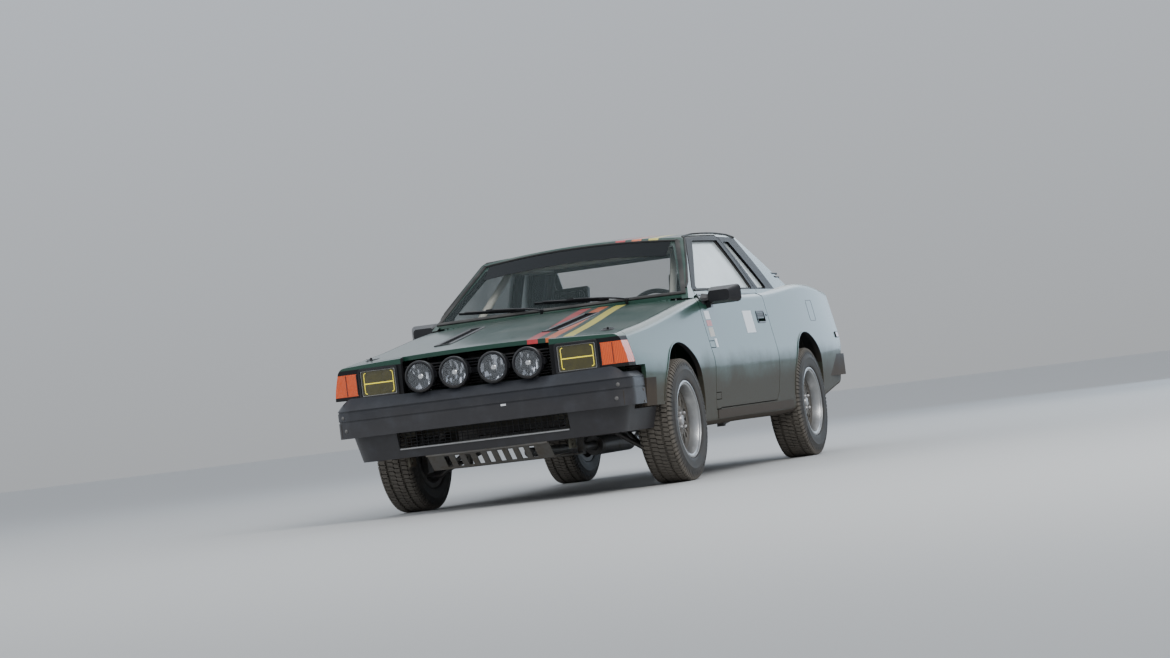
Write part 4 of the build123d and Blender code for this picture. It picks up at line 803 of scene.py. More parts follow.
side_skins = {
    side: skin("body_sides", "front_wings", f"door_{side}", f"door_glass_{side}", "quarter_windows")
    for side in SIDES
}
front_skin = skin("front_bumper", "nose_panel", "headlamp_lenses", "corner_lamps", "bonnet")
top_skin = skin("bonnet", "roof_panel", "boot_lid", "body_sides", "scuttle", "rear_structure")
tail_skin = skin("rear_structure", "rear_bumper", "tail_lamps", "boot_lid")
screen_skin = skin("windscreen")


# Wheels and tyres
TREAD_ROWS = (-0.0575, -0.0195, 0.0195, 0.0575)
TREAD_PITCHES = 80
TREAD_TOP = 0.3198
TREAD_BASE = 0.307
# A block's outline: turn in pitches, edge across the row, and 1 where the block is bent
TREAD_BLOCK = [(-0.42, -1, 0), (0.0, -1, 1), (0.42, -1, 0), (0.42, 1, 0), (0.0, 1, 1), (-0.42, 1, 0)]
# Profiles are (across, radius) from the wheel's middle
TYRE_WALL = [
    (0.0825, 0.1935), (0.0832, 0.204), (0.095, 0.2065), (0.099, 0.212), (0.1, 0.224),
    (0.1022, 0.242), (0.1016, 0.256), (0.1028, 0.259), (0.102, 0.262), (0.099, 0.268),
    (0.096, 0.286), (0.088, 0.303), (0.077, 0.3095),
]
SHOULDER_BLOCK = [(0.0785, 0.306), (0.0785, 0.3195), (0.0875, 0.316), (0.0968, 0.296)]
TYRE_INSIDE = [(0.07, 0.1935), (0.089, 0.242), (0.078, 0.296)]


def in_wheel(angle, radius, y=0.0):
    """A place about the wheel's middle, with the angle taken forward from its top."""
    return Vector((math.sin(angle) * radius, y, math.cos(angle) * radius))


def tyre_mesh():
    b = bmesh.new()
    outer = TYRE_WALL + [(-y, r) for y, r in TYRE_WALL[::-1]]
    inner = [(-y, r) for y, r in TYRE_INSIDE] + TYRE_INSIDE[::-1]
    turned(b, outer + inner, segments=80)
    step = math.tau / TREAD_PITCHES
    for row, middle in enumerate(TREAD_ROWS):
        bend = 0.006 if row % 2 else -0.006
        for pitch in range(TREAD_PITCHES):
            centre = (pitch + 0.5 * (row % 2)) * step
            rings = []
            for radius, shrink in ((TREAD_BASE, 1.0), (TREAD_TOP, 0.9)):
                ring = []
                for turn, edge, kink in TREAD_BLOCK:
                    angle = centre + turn * shrink * step + edge * 0.1 * step
                    ring.append(in_wheel(angle, radius, middle + edge * 0.0165 * shrink + kink * bend))
                rings.append(ring)
            rings_joined(b, rings)
    # Shoulder blocks reach down the wall, every second one further
    for side in (-1, 1):
        for pitch in range(TREAD_PITCHES):
            centre = (pitch + (0.25 if side > 0 else 0.75)) * step
            foot = (0.0985, 0.279) if pitch % 2 else (0.0972, 0.286)
            profile = SHOULDER_BLOCK + [foot, (0.093, 0.284)]
            rings = []
            for turn in (-0.34, 0.34):
                rings.append([in_wheel(centre + turn * step, r, side * y) for y, r in profile])
            rings_joined(b, rings)
    return b


RIM_LIP = [
    (0.03, 0.1905), (0.083, 0.191), (0.087, 0.203), (0.0925, 0.203), (0.094, 0.2005), (0.094, 0.1935),
    (0.0925, 0.192), (0.0885, 0.1915), (0.086, 0.183), (0.08, 0.1795), (0.052, 0.1775),
    (0.042, 0.175), (0.03, 0.1745),
]
RIM_BARREL = [
    (-0.094, 0.178), (-0.094, 0.203), (-0.087, 0.203), (-0.083, 0.191), (0.03, 0.1905), (0.03, 0.1745),
    (0.01, 0.174), (-0.06, 0.174),
]
RIM_RING = [(0.01, 0.175), (0.01, 0.158), (0.026, 0.154), (0.031, 0.158), (0.036, 0.175)]
RIM_HUB = [
    (0.008, 0.0225), (0.008, 0.08), (0.03, 0.084), (0.04, 0.078), (0.043, 0.062),
    (0.0415, 0.04), (0.04, 0.036), (0.04, 0.0225),
]
# The spokes stand in pairs. Columns: radius, lean from the pair's middle, half width, front and back
SPOKES = 8
SPOKE_SECTIONS = [
    (0.07, 0.16, 0.0105, 0.0415, 0.012),
    (0.1, 0.16, 0.0095, 0.042, 0.014),
    (0.13, 0.215, 0.01, 0.0375, 0.014),
    (0.162, 0.215, 0.015, 0.032, 0.012),
]


def rim_parts():
    """Meshes about the wheel's own middle, with +Y outward, and their finishes."""
    lip, barrel, spider, nuts, brake = (bmesh.new() for _ in range(5))
    turned(lip, RIM_LIP, segments=72)
    turned(barrel, RIM_BARREL, segments=64)
    turned(spider, RIM_RING, segments=72)
    turned(spider, RIM_HUB, segments=48)
    for k in range(SPOKES):
        for lean in (-1, 1):
            rings = []
            for radius, away, half, front, back in SPOKE_SECTIONS:
                angle = math.tau * k / SPOKES + lean * away
                across = in_wheel(angle + math.pi / 2, half)
                eased = front - 0.004
                section = ((-1, back), (-1, eased), (-0.55, front), (0.55, front), (1, eased), (1, back))
                rings.append([in_wheel(angle, radius, y) + across * w for w, y in section])
            rings_joined(spider, rings)
        boss = [(0.012, 0), (0.012, 0.0085), (0.0345, 0.0085), (0.0365, 0.0065), (0.0365, 0)]
        turned(spider, boss, in_wheel(math.tau * (k + 0.5) / SPOKES, 0.145), segments=12)
    for k in range(4):
        place = in_wheel(math.tau * (k + 0.5) / 4, 0.05)
        turned(nuts, [(0.036, 0), (0.036, 0.0125), (0.045, 0.0125), (0.045, 0)], place, segments=24)
        nut = [(0.044, 0), (0.044, 0.0095), (0.06, 0.0095), (0.064, 0.006), (0.064, 0)]
        turned(nuts, nut, place, segments=6)
    turned(nuts, [(0.03, 0), (0.03, 0.0305), (0.052, 0.029), (0.058, 0.024), (0.06, 0)], segments=32)
    turned(brake, [(-0.044, 0.064), (-0.044, 0.132), (-0.022, 0.132), (-0.022, 0.064)], segments=48)
    carrier = [(-0.022, 0.0215), (-0.022, 0.064), (0.008, 0.064), (0.011, 0.06), (0.011, 0.0215)]
    turned(brake, carrier, segments=40)
    return {
        "lip": (lip, "alloy_lip"),
        "barrel": (barrel, "cast"),
        "spider": (spider, "alloy"),
        "nuts": (nuts, "disc"),
        "brake": (brake, "cast"),
    }


def make_wheels():
    for corner, (x, y) in CORNERS.items():
        turn = Matrix.Translation((x, y, WHEEL_Z)) @ Matrix.Rotation(0 if y > 0 else math.pi, 4, "Z")
        body = "wheel_" + corner
        tread = tyre_mesh()
        tread.transform(turn)
        piece("tyre_dressed_" + corner, body, tread, tyre_rubber("tyre_rubber_" + corner, (x, y, WHEEL_Z)),
              slot="tyre_black", replaces=["tyre_" + corner], weld=False)
        for part, (mesh, finish) in rim_parts().items():
            mesh.transform(turn)
            piece(f"rim_{part}_{corner}", body, mesh, finish, slot="alloy", weld=False,
                  bevel=0.0012 if part == "spider" else 0,
                  replaces=["rim_" + corner] if part == "lip" else ())


make_wheels()


# Lamps
LAMP_YS = (-0.293, -0.106, 0.106, 0.293)
LAMP_Z = 0.702
HEADLAMP_Y = 0.541
HEADLAMP_Z = 0.7
FORWARD = Vector((1, 0, 0))
LAMP_RIM = [
    (0.0005, 0.0655), (0.0005, 0.0805), (0.017, 0.0815), (0.024, 0.079), (0.0262, 0.0735),
    (0.0262, 0.069), (0.02, 0.0655),
]
LAMP_GLASS = [
    (0.0195, 0), (0.0195, 0.066), (0.0215, 0.066), (0.0238, 0.048), (0.0246, 0.024), (0.0248, 0),
]
LAMP_SHIELD = [(0.0005, 0), (0.0005, 0.015), (0.009, 0.015), (0.013, 0.011), (0.014, 0)]
DISH_STEPS = 8


def make_driving_lamps():
    rims, dishes, glasses, guards = (bmesh.new() for _ in range(4))
    for y in LAMP_YS:
        centre = Vector((at(0.04), y, LAMP_Z))
        turned(rims, LAMP_RIM, centre, FORWARD, 56)
        # The reflector's facets: rings of small flats round a bulb shield
        rings = []
        for k in range(40):
            angle = math.tau * k / 40
            out = Vector((0, math.sin(angle), math.cos(angle)))
            ring = []
            for i in range(DISH_STEPS + 1):
                t = i / DISH_STEPS
                radius = 0.014 + 0.0515 * t
                depth = 0.0015 + 0.015 * t * t + (0.0012 if (k + i) % 2 else 0.0)
                ring.append(centre + out * radius + FORWARD * depth)
            ring += [centre + out * radius + FORWARD * 0.0002 for radius in (0.0656, 0.014)]
            rings.append(ring)
        rings_joined(dishes, rings, loop=True)
        turned(guards, LAMP_SHIELD, centre, FORWARD, 24)
        turned(glasses, LAMP_GLASS, centre, FORWARD, 48)
        for spot in (-1, 1):
            brick(rims, centre + Vector((-0.01, spot * 0.082, 0)), (0.022, 0.01, 0.03))
        brick(guards, centre + Vector((-0.052, 0, -0.07)), (0.03, 0.046, 0.012))
    piece("driving_lamp_rims", "body", rims, "smooth_plastic", bevel=0.0008)
    piece("driving_lamp_dishes", "body", dishes, "reflector", smooth=12, slot="alloy",
          replaces=["driving_lamp_lenses"])
    piece("driving_lamp_shields", "body", guards, "chrome", slot="alloy")
    piece("driving_lamp_glasses", "body", glasses, "lamp_glass", slot="glass_lamp")


def nose_station(y):
    """How far back the nose stands at a distance from the middle."""
    return 0.048 + 0.062 * (y / 0.9) ** 2


def headlamp_outline(y, half_y, half_z, behind, radius):
    """A rounded rectangle round a headlamp's middle, some way behind the nose's own curve."""
    low = (y - half_y, HEADLAMP_Z - half_z)
    high = (y + half_y, HEADLAMP_Z + half_z)
    outline = rectangle(low, high, radius, 0.03)
    return [Vector((at(nose_station(p.x) + behind), p.x, p.y)) for p in outline]


def facing_forward(places):
    return [(place, FORWARD) for place in places]


def make_headlamps():
    black, bright, bars = (bmesh.new() for _ in range(3))
    for side in (-1, 1):
        y = side * HEADLAMP_Y
        edge = headlamp_outline(y, 0.1075, 0.0715, 0.002, 0.012)
        strip(black, facing_forward(edge), 0.0078, 0.0085, 0.004, closed=True)
        inner = headlamp_outline(y, 0.0975, 0.064, 0.0055, 0.01)
        strip(bright, facing_forward(inner), 0.0022, 0.007, 0.004, closed=True)
        # The film's edge, glowing as a painted glint: a bow at each end and a line across the middle
        ring = headlamp_outline(y, 0.083, 0.053, 0.0058, 0.012)
        for end in (-1, 1):
            bow = [p for p in ring if (p.y - y) * end > 0.06]
            bow.sort(key=lambda p: math.atan2(p.z - HEADLAMP_Z, (p.y - y) * end))
            strip(bars, facing_forward(bow), 0.0022, 0.0022, 0.002)
        level = []
        for t in (-1, -0.5, 0, 0.5, 1):
            across = y + t * 0.085
            level.append(Vector((at(nose_station(across) + 0.0058), across, HEADLAMP_Z - 0.002)))
        strip(bars, facing_forward(level), 0.003, 0.0026, 0.002)
    piece("headlamp_frames", "body", black, "smooth_plastic")
    piece("headlamp_inner_frames", "body", bright, "alloy_lip", slot="alloy")
    piece("headlamp_film_edge_glints", "body", bars, "yellow_edge_glint", slot="glass_lamp")
    seams = bmesh.new()
    for side in (-1, 1):
        for y, half_width in ((0.727, 0.0016), (0.664, 0.003)):
            spots = [from_front(front_skin, side * y, z) for z in (0.648, 0.675, 0.7, 0.725, 0.752)]
            if all(spots):
                strip(seams, spots, half_width, 0.0022, 0.002)
    piece("corner_lamp_seams", "body", seams, "smooth_plastic")


def make_grille():
    slats = bmesh.new()
    for row in range(9):
        z = 0.64 + row * 0.015
        brick(slats, (at(0.119), 0, z), (0.02, 0.8, 0.0042), Matrix.Rotation(math.radians(18), 3, "Y"))
    for y in (-0.398, -0.2, 0.0, 0.2, 0.398):
        brick(slats, (at(0.122), y, 0.698), (0.016, 0.006, 0.13))
    piece("grille_slats", "body", slats, "smooth_plastic", bevel=0.0006)


make_driving_lamps()
make_headlamps()
make_grille()


# Outlines of the CAD's own panels, for seals and trim
def loop_length(spots):
    return sum((spots[i][0] - spots[i - 1][0]).length for i in range(len(spots)))


def edges_facing(name, way):
    """Closed loops of (place, outward) round a node's faces that look one way, longest first."""
    b = bmesh.new()
    b.from_mesh(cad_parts[name].data)
    bmesh.ops.remove_doubles(b, verts=b.verts, dist=0.00002)
    way = Vector(way).normalized()
    chosen = {f for f in b.faces if f.normal.dot(way) > 0.6}
    rim = [e for e in b.edges if sum(f in chosen for f in e.link_faces) == 1]
    beside = {}
    for edge in rim:
        for vert in edge.verts:
            beside.setdefault(vert, []).append(edge)
    # A dict keeps the order of its keys, where a set's order changes from run to run
    loops, left = [], dict.fromkeys(rim)
    while left:
        edge = left.popitem()[0]
        way_round = [edge.verts[0], edge.verts[1]]
        while way_round[-1] is not way_round[0]:
            onward = [e for e in beside[way_round[-1]] if e in left]
            if not onward:
                break
            del left[onward[0]]
            way_round.append(onward[0].other_vert(way_round[-1]))
        spots = []
        for vert in way_round[:-1]:
            out = sum((f.normal * f.calc_area() for f in vert.link_faces if f in chosen), Vector())
            spots.append((vert.co.copy(), out.normalized()))
        loops.append(spots)
    b.free()
    return sorted(loops, key=loop_length, reverse=True)


def evened(spots, step):
    """A closed loop's spots with short steps dropped and long ones filled in."""
    kept = []
    for place, out in spots:
        if not kept or (place - kept[-1][0]).length > step * 0.4:
            kept.append((place, out))
    if (kept[0][0] - kept[-1][0]).length < step * 0.4:
        kept.pop()
    filled = []
    for i, (place, out) in enumerate(kept):
        after, after_out = kept[(i + 1) % len(kept)]
        parts = int((after - place).length / step)
        filled.append((place, out))
        for k in range(parts):
            t = (k + 1) / (parts + 1)
            filled.append((place.lerp(after, t), out.lerp(after_out, t).normalized()))
    return filled


def drawn_in(spots, distance):
    """A closed loop moved towards its own middle, along its surface."""
    middle = sum((place for place, _ in spots), Vector()) / len(spots)
    moved = []
    for i, (place, out) in enumerate(spots):
        along = (spots[(i + 1) % len(spots)][0] - spots[i - 1][0]).normalized()
        inward = out.cross(along).normalized()
        if inward.dot(middle - place) < 0:
            inward = -inward
        moved.append((place + inward * distance, out))
    return moved


def surround(b, node, way, inset, half_width, height, sink=0.004, step=0.03):
    """A band round the outline of a node's face that looks one way."""
    loop = edges_facing(node, way)[0]
    strip(b, drawn_in(evened(loop, step), inset), half_width, height, sink, closed=True)


SCREEN_WAY = (0.53, 0, 0.85)
REAR_SCREEN_WAY = (-0.48, 0, 0.88)


def make_window_seals():
    screens = bmesh.new()
    surround(screens, "windscreen", SCREEN_WAY, 0.008, 0.0125, 0.0045)
    surround(screens, "rear_window", REAR_SCREEN_WAY, 0.005, 0.0105, 0.0045)
    piece("screen_seals", "body", screens, "rubber")
    quarters = bmesh.new()
    for side in (-1, 1):
        surround(quarters, "quarter_windows", (0, side, 0.3), -0.004, 0.0105, 0.0105, 0.006)
    piece("quarter_window_seals", "body", quarters, "rubber")
    for name, side in SIDES.items():
        seal = bmesh.new()
        surround(seal, f"door_glass_{name}", (0, side, 0.3), -0.001, 0.008, 0.0085, 0.006)
        piece(f"door_glass_seal_{name}", f"door_{name}", seal, "rubber")


def screen_top(y):
    """The height of the top edge of the windscreen at a distance from the middle."""
    heights = [z / 1000 for z in range(1370, 1180, -2) if from_front(screen_skin, y, z / 1000)]
    return heights[0] if heights else None


def make_sun_strip():
    """The dark film over the top of the windscreen."""
    b = bmesh.new()
    columns = [y / 1000 for y in range(-540, 541, 40)]
    tops = {y: screen_top(y) for y in columns}
    columns = [y for y in columns if tops[y]]
    rows = []
    for drop in (0.086, 0.064, 0.042, 0.02, 0.004):
        rows.append([from_front(screen_skin, y, tops[y] - drop) for y in columns])
    for away in (0.0012, 0.0003):
        net(b, [[place + out * away for place, out in row] for row in rows])
    piece("sun_strip", "body", b, "tint", slot="glass_clear")


make_window_seals()
make_sun_strip()


# Wipers: an arm, a bridge and a blade that lies along the glass
WIPER_PIVOTS = (-0.06, 0.42)
WIPER_FOOT = [
    (-0.06, 0), (-0.06, 0.0085), (-0.002, 0.0085), (0.004, 0.0125), (0.01, 0.0125), (0.014, 0.0095),
    (0.0145, 0),
]


def make_wipers():
    b = bmesh.new()
    for pivot in WIPER_PIVOTS:
        x = at(1.302 + 0.104 * (pivot / 0.748) ** 2)
        foot = Vector((x, pivot, 0.99))
        turned(b, WIPER_FOOT, foot, (0, 0, 1), 20)
        blade = []
        for k in range(9):
            y = max(pivot - 0.11 - 0.44 * k / 8, -0.6)
            spot = from_front(screen_skin, y, 1.003 + 0.004 * k)
            if spot:
                blade.append(spot)
        if len(blade) < 4:
            continue
        strip(b, out_of(blade, 0.0085), 0.0032, 0.005, 0.008)
        strip(b, out_of(blade[1:-1], 0.015), 0.0048, 0.0042, 0.003)
        mid_place, mid_out = blade[len(blade) // 2]
        hook = mid_place + mid_out * 0.021
        knee = foot.lerp(hook, 0.35) + Vector((0, 0, 0.012))
        tube(b, smooth_way([foot + Vector((0, 0, 0.008)), knee, hook], steps=5), 0.0048, sides=8)
        brick(b, hook, (0.014, 0.04, 0.012))
    piece("wiper_sets", "body", b, "smooth_plastic", slot="steel_dark", replaces=["wipers"])


make_wipers()


# Bonnet: vent frames with their louvres, a dark plate under each vent as painted shade, and pins
LOUVRES = 17
LOUVRE_LEAN = Matrix.Rotation(math.radians(-34), 3, "Y")
PIN_WASHER = [(-0.002, 0.008), (-0.002, 0.025), (0.0015, 0.0265), (0.0035, 0.024), (0.0035, 0.009)]
# The spring clip's wire: ahead of the pin, away from the middle, up
PIN_CLIP = [
    (0.028, -0.012, 0.008), (0, 0, 0.009), (-0.026, 0.01, 0.008), (-0.03, 0.024, 0.006),
    (0.018, 0.02, 0.006),
]
PIN = [(-0.004, 0), (-0.004, 0.0062), (0.012, 0.0062), (0.015, 0.003), (0.015, 0)]


def make_bonnet_fittings():
    b = bmesh.new()
    for side in (-1, 1):
        edge = []
        corners = [(VENT_FRONT, -1), (VENT_FRONT, 1), (VENT_REAR, 1), (VENT_REAR, -1)]
        for (station, y), lean in corners:
            inset = 0.003 if (station, y) == VENT_FRONT else -0.003
            spot = from_above(top_skin, station + inset, side * y + lean * (VENT_HALF + 0.01))
            edge.append((spot[0], Vector((0.06, 0, 1))))
        strip(b, evened(edge, 0.04), 0.01, 0.005, 0.004, closed=True)
        # A dark plate under the louvres: painted shade that makes the slot read black
        slab(b, [place + Vector((0, 0, -0.02)) for place, _ in edge], (0, 0, 0.003))
        for k in range(LOUVRES):
            t = (k + 0.5) / LOUVRES
            station = VENT_FRONT[0] + (VENT_REAR[0] - VENT_FRONT[0]) * t
            y = side * (VENT_FRONT[1] + (VENT_REAR[1] - VENT_FRONT[1]) * t)
            spot = from_above(top_skin, station, y + VENT_HALF + 0.012)
            place = spot[0] + Vector((0, -VENT_HALF - 0.012, -0.012))
            brick(b, place, (0.028, 2 * VENT_HALF + 0.006, 0.0035), LOUVRE_LEAN)
    piece("bonnet_vents_and_shade_plates", "bonnet", b, "smooth_plastic", bevel=0.0006)
    pins = bmesh.new()
    for side in (-1, 1):
        place, out = from_above(top_skin, 0.275, side * 0.652)
        plate = []
        for k in range(28):
            angle = math.tau * k / 28
            station = 0.28 + 0.052 * math.cos(angle)
            spot = from_above(top_skin, station, side * 0.648 + 0.034 * math.sin(angle))
            plate.append(spot[0] - out * 0.001)
        slab(pins, plate, out * 0.0028)
        turned(pins, PIN_WASHER, place, out, 32)
        turned(pins, PIN, place, out, 18)
        wire = [place + out * up + Vector((ahead, side * across, 0)) for ahead, across, up in PIN_CLIP]
        tube(pins, smooth_way(wire), 0.0019, sides=6)
    piece("bonnet_pins", "bonnet", pins, "smooth_plastic")


make_bonnet_fittings()


# Thin sheets laid on the bodywork
SHEET_SINK = 0.0004


def sheet_on(b, hit, across, up, lift=0.001, steps=(8, 6)):
    """A thin closed sheet over a surface: hit(u, v) finds a place for u and v in their ranges."""
    rows = []
    for j in range(steps[1] + 1):
        v = up[0] + (up[1] - up[0]) * j / steps[1]
        rows.append([hit(across[0] + (across[1] - across[0]) * i / steps[0], v) for i in range(steps[0] + 1)])
    if not all(all(row) for row in rows):
        return False
    tops = net(b, [[p + out * lift for p, out in row] for row in rows])
    bases = net(b, [[p - out * SHEET_SINK for p, out in row] for row in rows])
    for rim_top, rim_base in (
        (tops[0], bases[0]), (tops[-1], bases[-1]),
        ([r[0] for r in tops], [r[0] for r in bases]), ([r[-1] for r in tops], [r[-1] for r in bases]),
    ):
        for i in range(len(rim_top) - 1):
            b.faces.new((rim_top[i], rim_top[i + 1], rim_base[i + 1], rim_base[i]))
    return True


def on_side(name, station, z):
    return from_side(side_skins[name], station, z, SIDES[name])


def side_line(name, points, step=0.03):
    """Spots along a (station, height) line on one side of the car."""
    way = divided([Vector((s, z)) for s, z in points], step, closed=False)
    return [spot for spot in (on_side(name, p.x, p.y) for p in way) if spot]


def arch_line(name, axle_station, centre_z, radius, low_angle, high_angle):
    """Spots along a wheel arch on one side of the car."""
    points = []
    for k in range(41):
        angle = math.radians(low_angle + (high_angle - low_angle) * k / 40)
        points.append((axle_station + radius * math.cos(angle), centre_z + radius * math.sin(angle)))
    return side_line(name, points, 0.05)


# Lines along the side, as (station, height) points
BELT_TRIM = [(1.56, 1.0035), (1.8, 1.0055), (2.2, 1.0065), (2.6, 1.005)]
DRIP_RAIL = [
    (1.48, 1.02), (1.7, 1.16), (1.9, 1.29), (1.975, 1.333), (2.1, 1.338), (2.5, 1.343),
    (2.75, 1.336), (2.86, 1.32),
]
MIRROR_FOOT = [(1.5, 0.942), (1.53, 0.93), (1.6, 0.921), (1.64, 0.93), (1.64, 0.975), (1.56, 0.978)]


def make_side_trim():
    for name in SIDES:
        lips = bmesh.new()
        strip(lips, arch_line(name, 0.9, 0.378, 0.348, -8, 186), 0.0036, 0.0042, 0.003)
        strip(lips, arch_line(name, 3.4, 0.396, 0.341, -4, 184), 0.0036, 0.0042, 0.003)
        piece(f"arch_lips_{name}", "body", lips, "paint_edge", slot="paint_green")
        rail = bmesh.new()
        strip(rail, side_line(name, DRIP_RAIL), 0.0058, 0.0075, 0.004)
        piece(f"drip_rail_{name}", "body", rail, "rubber")
        sill = bmesh.new()
        sheet_on(sill, lambda s, z: on_side(name, s, z), (1.48, 3.0), (0.3, 0.345), 0.004, (30, 3))
        piece(f"sill_cover_{name}", "body", sill, "plastic")
        belt = bmesh.new()
        strip(belt, side_line(name, BELT_TRIM), 0.0055, 0.0055, 0.004)
        piece(f"belt_trim_{name}", f"door_{name}", belt, "rubber")


HANDLE_MIDDLE = (2.57, 0.838)
KEYHOLE = [(-0.001, 0), (-0.001, 0.0065), (0.0022, 0.0065), (0.003, 0.005), (0.003, 0)]


def make_handles():
    for name, side in SIDES.items():
        bezel, flap = bmesh.new(), bmesh.new()
        spots = []
        for p in rectangle((2.4935, 0.806), (2.6465, 0.87), 0.012):
            # The door beside the handle's pocket gives the bezel its place
            wide = p + (p - Vector(HANDLE_MIDDLE)).normalized() * 0.004
            place, out = on_side(name, wide.x, wide.y)
            spots.append((Vector((at(p.x), place.y, p.y)), out))
        strip(bezel, spots, 0.0048, 0.0032, 0.006, closed=True)
        for z in (0.8375, 0.8475, 0.856):
            strip(flap, side_line(name, [(2.508, z), (2.632, z)]), 0.0046, 0.0018, 0.002)
        brick(bezel, (at(HANDLE_MIDDLE[0]), side * 0.7728, 0.822), (0.146, 0.0012, 0.026))
        out = on_side(name, HANDLE_MIDDLE[0], 0.846)[1]
        turned(flap, KEYHOLE, on_side(name, 2.688, 0.846)[0], out, 24)
        piece(f"door_handle_bezel_{name}", f"door_{name}", bezel, "smooth_plastic")
        piece(f"door_handle_flap_{name}", f"door_{name}", flap, "plastic")


# The stalk's sections. Columns: station, height, distance from the middle, half length, half height
MIRROR_STALK = [
    (1.575, 0.952, 0.766, 0.046, 0.03),
    (1.59, 0.953, 0.8, 0.03, 0.022),
    (1.604, 0.956, 0.822, 0.022, 0.016),
]


def make_mirror_trim():
    for name, side in SIDES.items():
        low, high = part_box(f"mirror_{name}")
        middle = (Vector(low) + Vector(high)) / 2
        glass_face = bmesh.new()
        corners = ((-1, -1), (1, -1), (1, 1), (-1, 1))
        outline = rounded([(middle.y + u * 0.074, middle.z + 0.012 + v * 0.031) for u, v in corners], 0.014)
        slab(glass_face, [Vector((low[0] - 0.0002, p.x, p.y)) for p in outline], (0.0022, 0, 0))
        piece(f"mirror_glass_{name}", f"door_{name}", glass_face, "chrome")
        foot = bmesh.new()
        rings = []
        section = ((-1, -0.6), (1, -1), (1, 0.7), (0.2, 1), (-0.9, 0.1))
        for station, z, y, half_s, half_z in MIRROR_STALK:
            rings.append([Vector((at(station + u * half_s), side * y, z + v * half_z)) for u, v in section])
        rings_joined(foot, rings)
        strip(foot, side_line(name, MIRROR_FOOT, 0.02), 0.006, 0.004, 0.003, closed=True)
        piece(f"mirror_foot_{name}", f"door_{name}", foot, "smooth_plastic", bevel=0.002)


# The slots at the foot of the rear pillars. Columns: station at the front and the rear, height
PILLAR_SLOTS = [(3.262, 3.5, 1.072), (3.24, 3.462, 1.094)]
SLOT_SLATS = 14


def make_quarter_details():
    """Slats in the rear pillars' slots, the side markers and the fuel flap's seam."""
    dark, red, lines = (bmesh.new() for _ in range(3))
    for name, side in SIDES.items():
        for front, rear, z in PILLAR_SLOTS:
            for k in range(SLOT_SLATS):
                s = front + (rear - front - 0.012) * (k + 0.5) / SLOT_SLATS
                brick(dark, (at(s), side * 0.679, z + 0.0055), (0.0045, 0.006, 0.011))
            stations = (front - 0.004, (front + rear) / 2, rear - 0.004)
            hits = [on_side(name, s, z + 0.014) for s in stations]
            if all(hits):
                strip(lines, hits, 0.0016, 0.0016, 0.002)
        outline = rectangle((4.215, 0.69), (4.3, 0.722), 0.006)
        ring = [on_side(name, p.x, p.y) for p in outline]
        if all(ring):
            sheet_on(red, lambda s, z: on_side(name, s, z), (4.217, 4.298), (0.692, 0.72), 0.006, (6, 3))
            strip(dark, ring, 0.0035, 0.0065, 0.004, closed=True)
    fuel_flap = rectangle((3.64, 0.8), (3.78, 0.925), 0.018)
    spots = [on_side("left", p.x, p.y) for p in fuel_flap]
    if all(spots):
        strip(lines, spots, 0.0012, 0.0009, 0.002, closed=True)
    piece("pillar_vent_slats", "body", dark, "smooth_plastic")
    piece("side_markers", "body", red, "red_lens", slot="lamp_red")
    piece("quarter_seams", "body", lines, "rubber")


# A rear liner's section, as (distance from the middle, radius) points
LINER = [
    (0.742, 0.354), (0.742, 0.364), (0.5, 0.364), (0.47, 0.33), (0.47, 0.2), (0.476, 0.2),
    (0.476, 0.326), (0.504, 0.354),
]


def make_arch_liners():
    """Liners over the rear wheels, each with its inner wall."""
    liners = bmesh.new()
    for side in (-1, 1):
        rings = []
        for k in range(45):
            angle = math.radians(-2 + 184 * k / 44)
            out = Vector((math.cos(angle), 0, math.sin(angle)))
            rings.append([Vector((REAR_AXLE_X, side * y, 0.392)) + out * r for y, r in LINER])
        rings_joined(liners, rings)
    piece("rear_arch_liners", "body", liners, "rubber")


make_arch_liners()
make_side_trim()
make_handles()
make_mirror_trim()
make_quarter_details()


# Bumper details
BUMPER_BOLT = [
    (-0.002, 0), (-0.002, 0.0098), (0.0022, 0.0098), (0.0034, 0.008), (0.0034, 0.0058), (0.0062, 0.005),
    (0.0066, 0),
]
END_BOLT = [(-0.002, 0), (-0.002, 0.0075), (0.0024, 0.0075), (0.003, 0)]
INTAKE_HALF = 0.46
INTAKE_FOOT_Z = 0.3465
LIP_PARTS = 23


def make_bumper_details():
    bolts, seams, lips, bars = (bmesh.new() for _ in range(4))
    bumper_skin = skin("front_bumper")
    for side in (-1, 1):
        for y, z in ((0.748, 0.538), (0.735, 0.47)):
            place, out = from_front(front_skin, side * y, z)
            turned(bolts, BUMPER_BOLT, place, out, 20)
        heights = (0.436, 0.46, 0.485, 0.508)
        spots = [from_front(front_skin, side * (0.768 + 0.004 * (z - 0.5)), z) for z in heights]
        if all(spots):
            strip(seams, spots, 0.0016, 0.0012, 0.002)
        for z in (0.44, 0.5):
            hit = from_side(bumper_skin, 0.262, z, side)
            if hit:
                turned(bolts, END_BOLT, *hit, 18)
    # The intake's bright lower lip and its mesh
    ways = [INTAKE_HALF * (2 * k / LIP_PARTS - 1) for k in range(LIP_PARTS + 1)]
    hits = [from_front(front_skin, y, INTAKE_FOOT_Z) for y in ways]
    strip(lips, [hit for hit in hits if hit], 0.0046, 0.005, 0.003)
    for row in range(5):
        z = 0.36 + row * 0.0165
        brick(bars, (at(0.082), 0, z), (0.006, 0.93, 0.003))
    for k in range(31):
        y = -0.465 + 0.93 * k / 30
        brick(bars, (at(0.079), y, 0.392), (0.004, 0.003, 0.082))
    piece("bumper_bolts", "body", bolts, "steel")
    piece("bumper_seams", "body", seams, "rubber")
    piece("intake_lip", "body", lips, "alloy_lip", slot="alloy")
    piece("intake_mesh", "body", bars, "intake")


make_bumper_details()


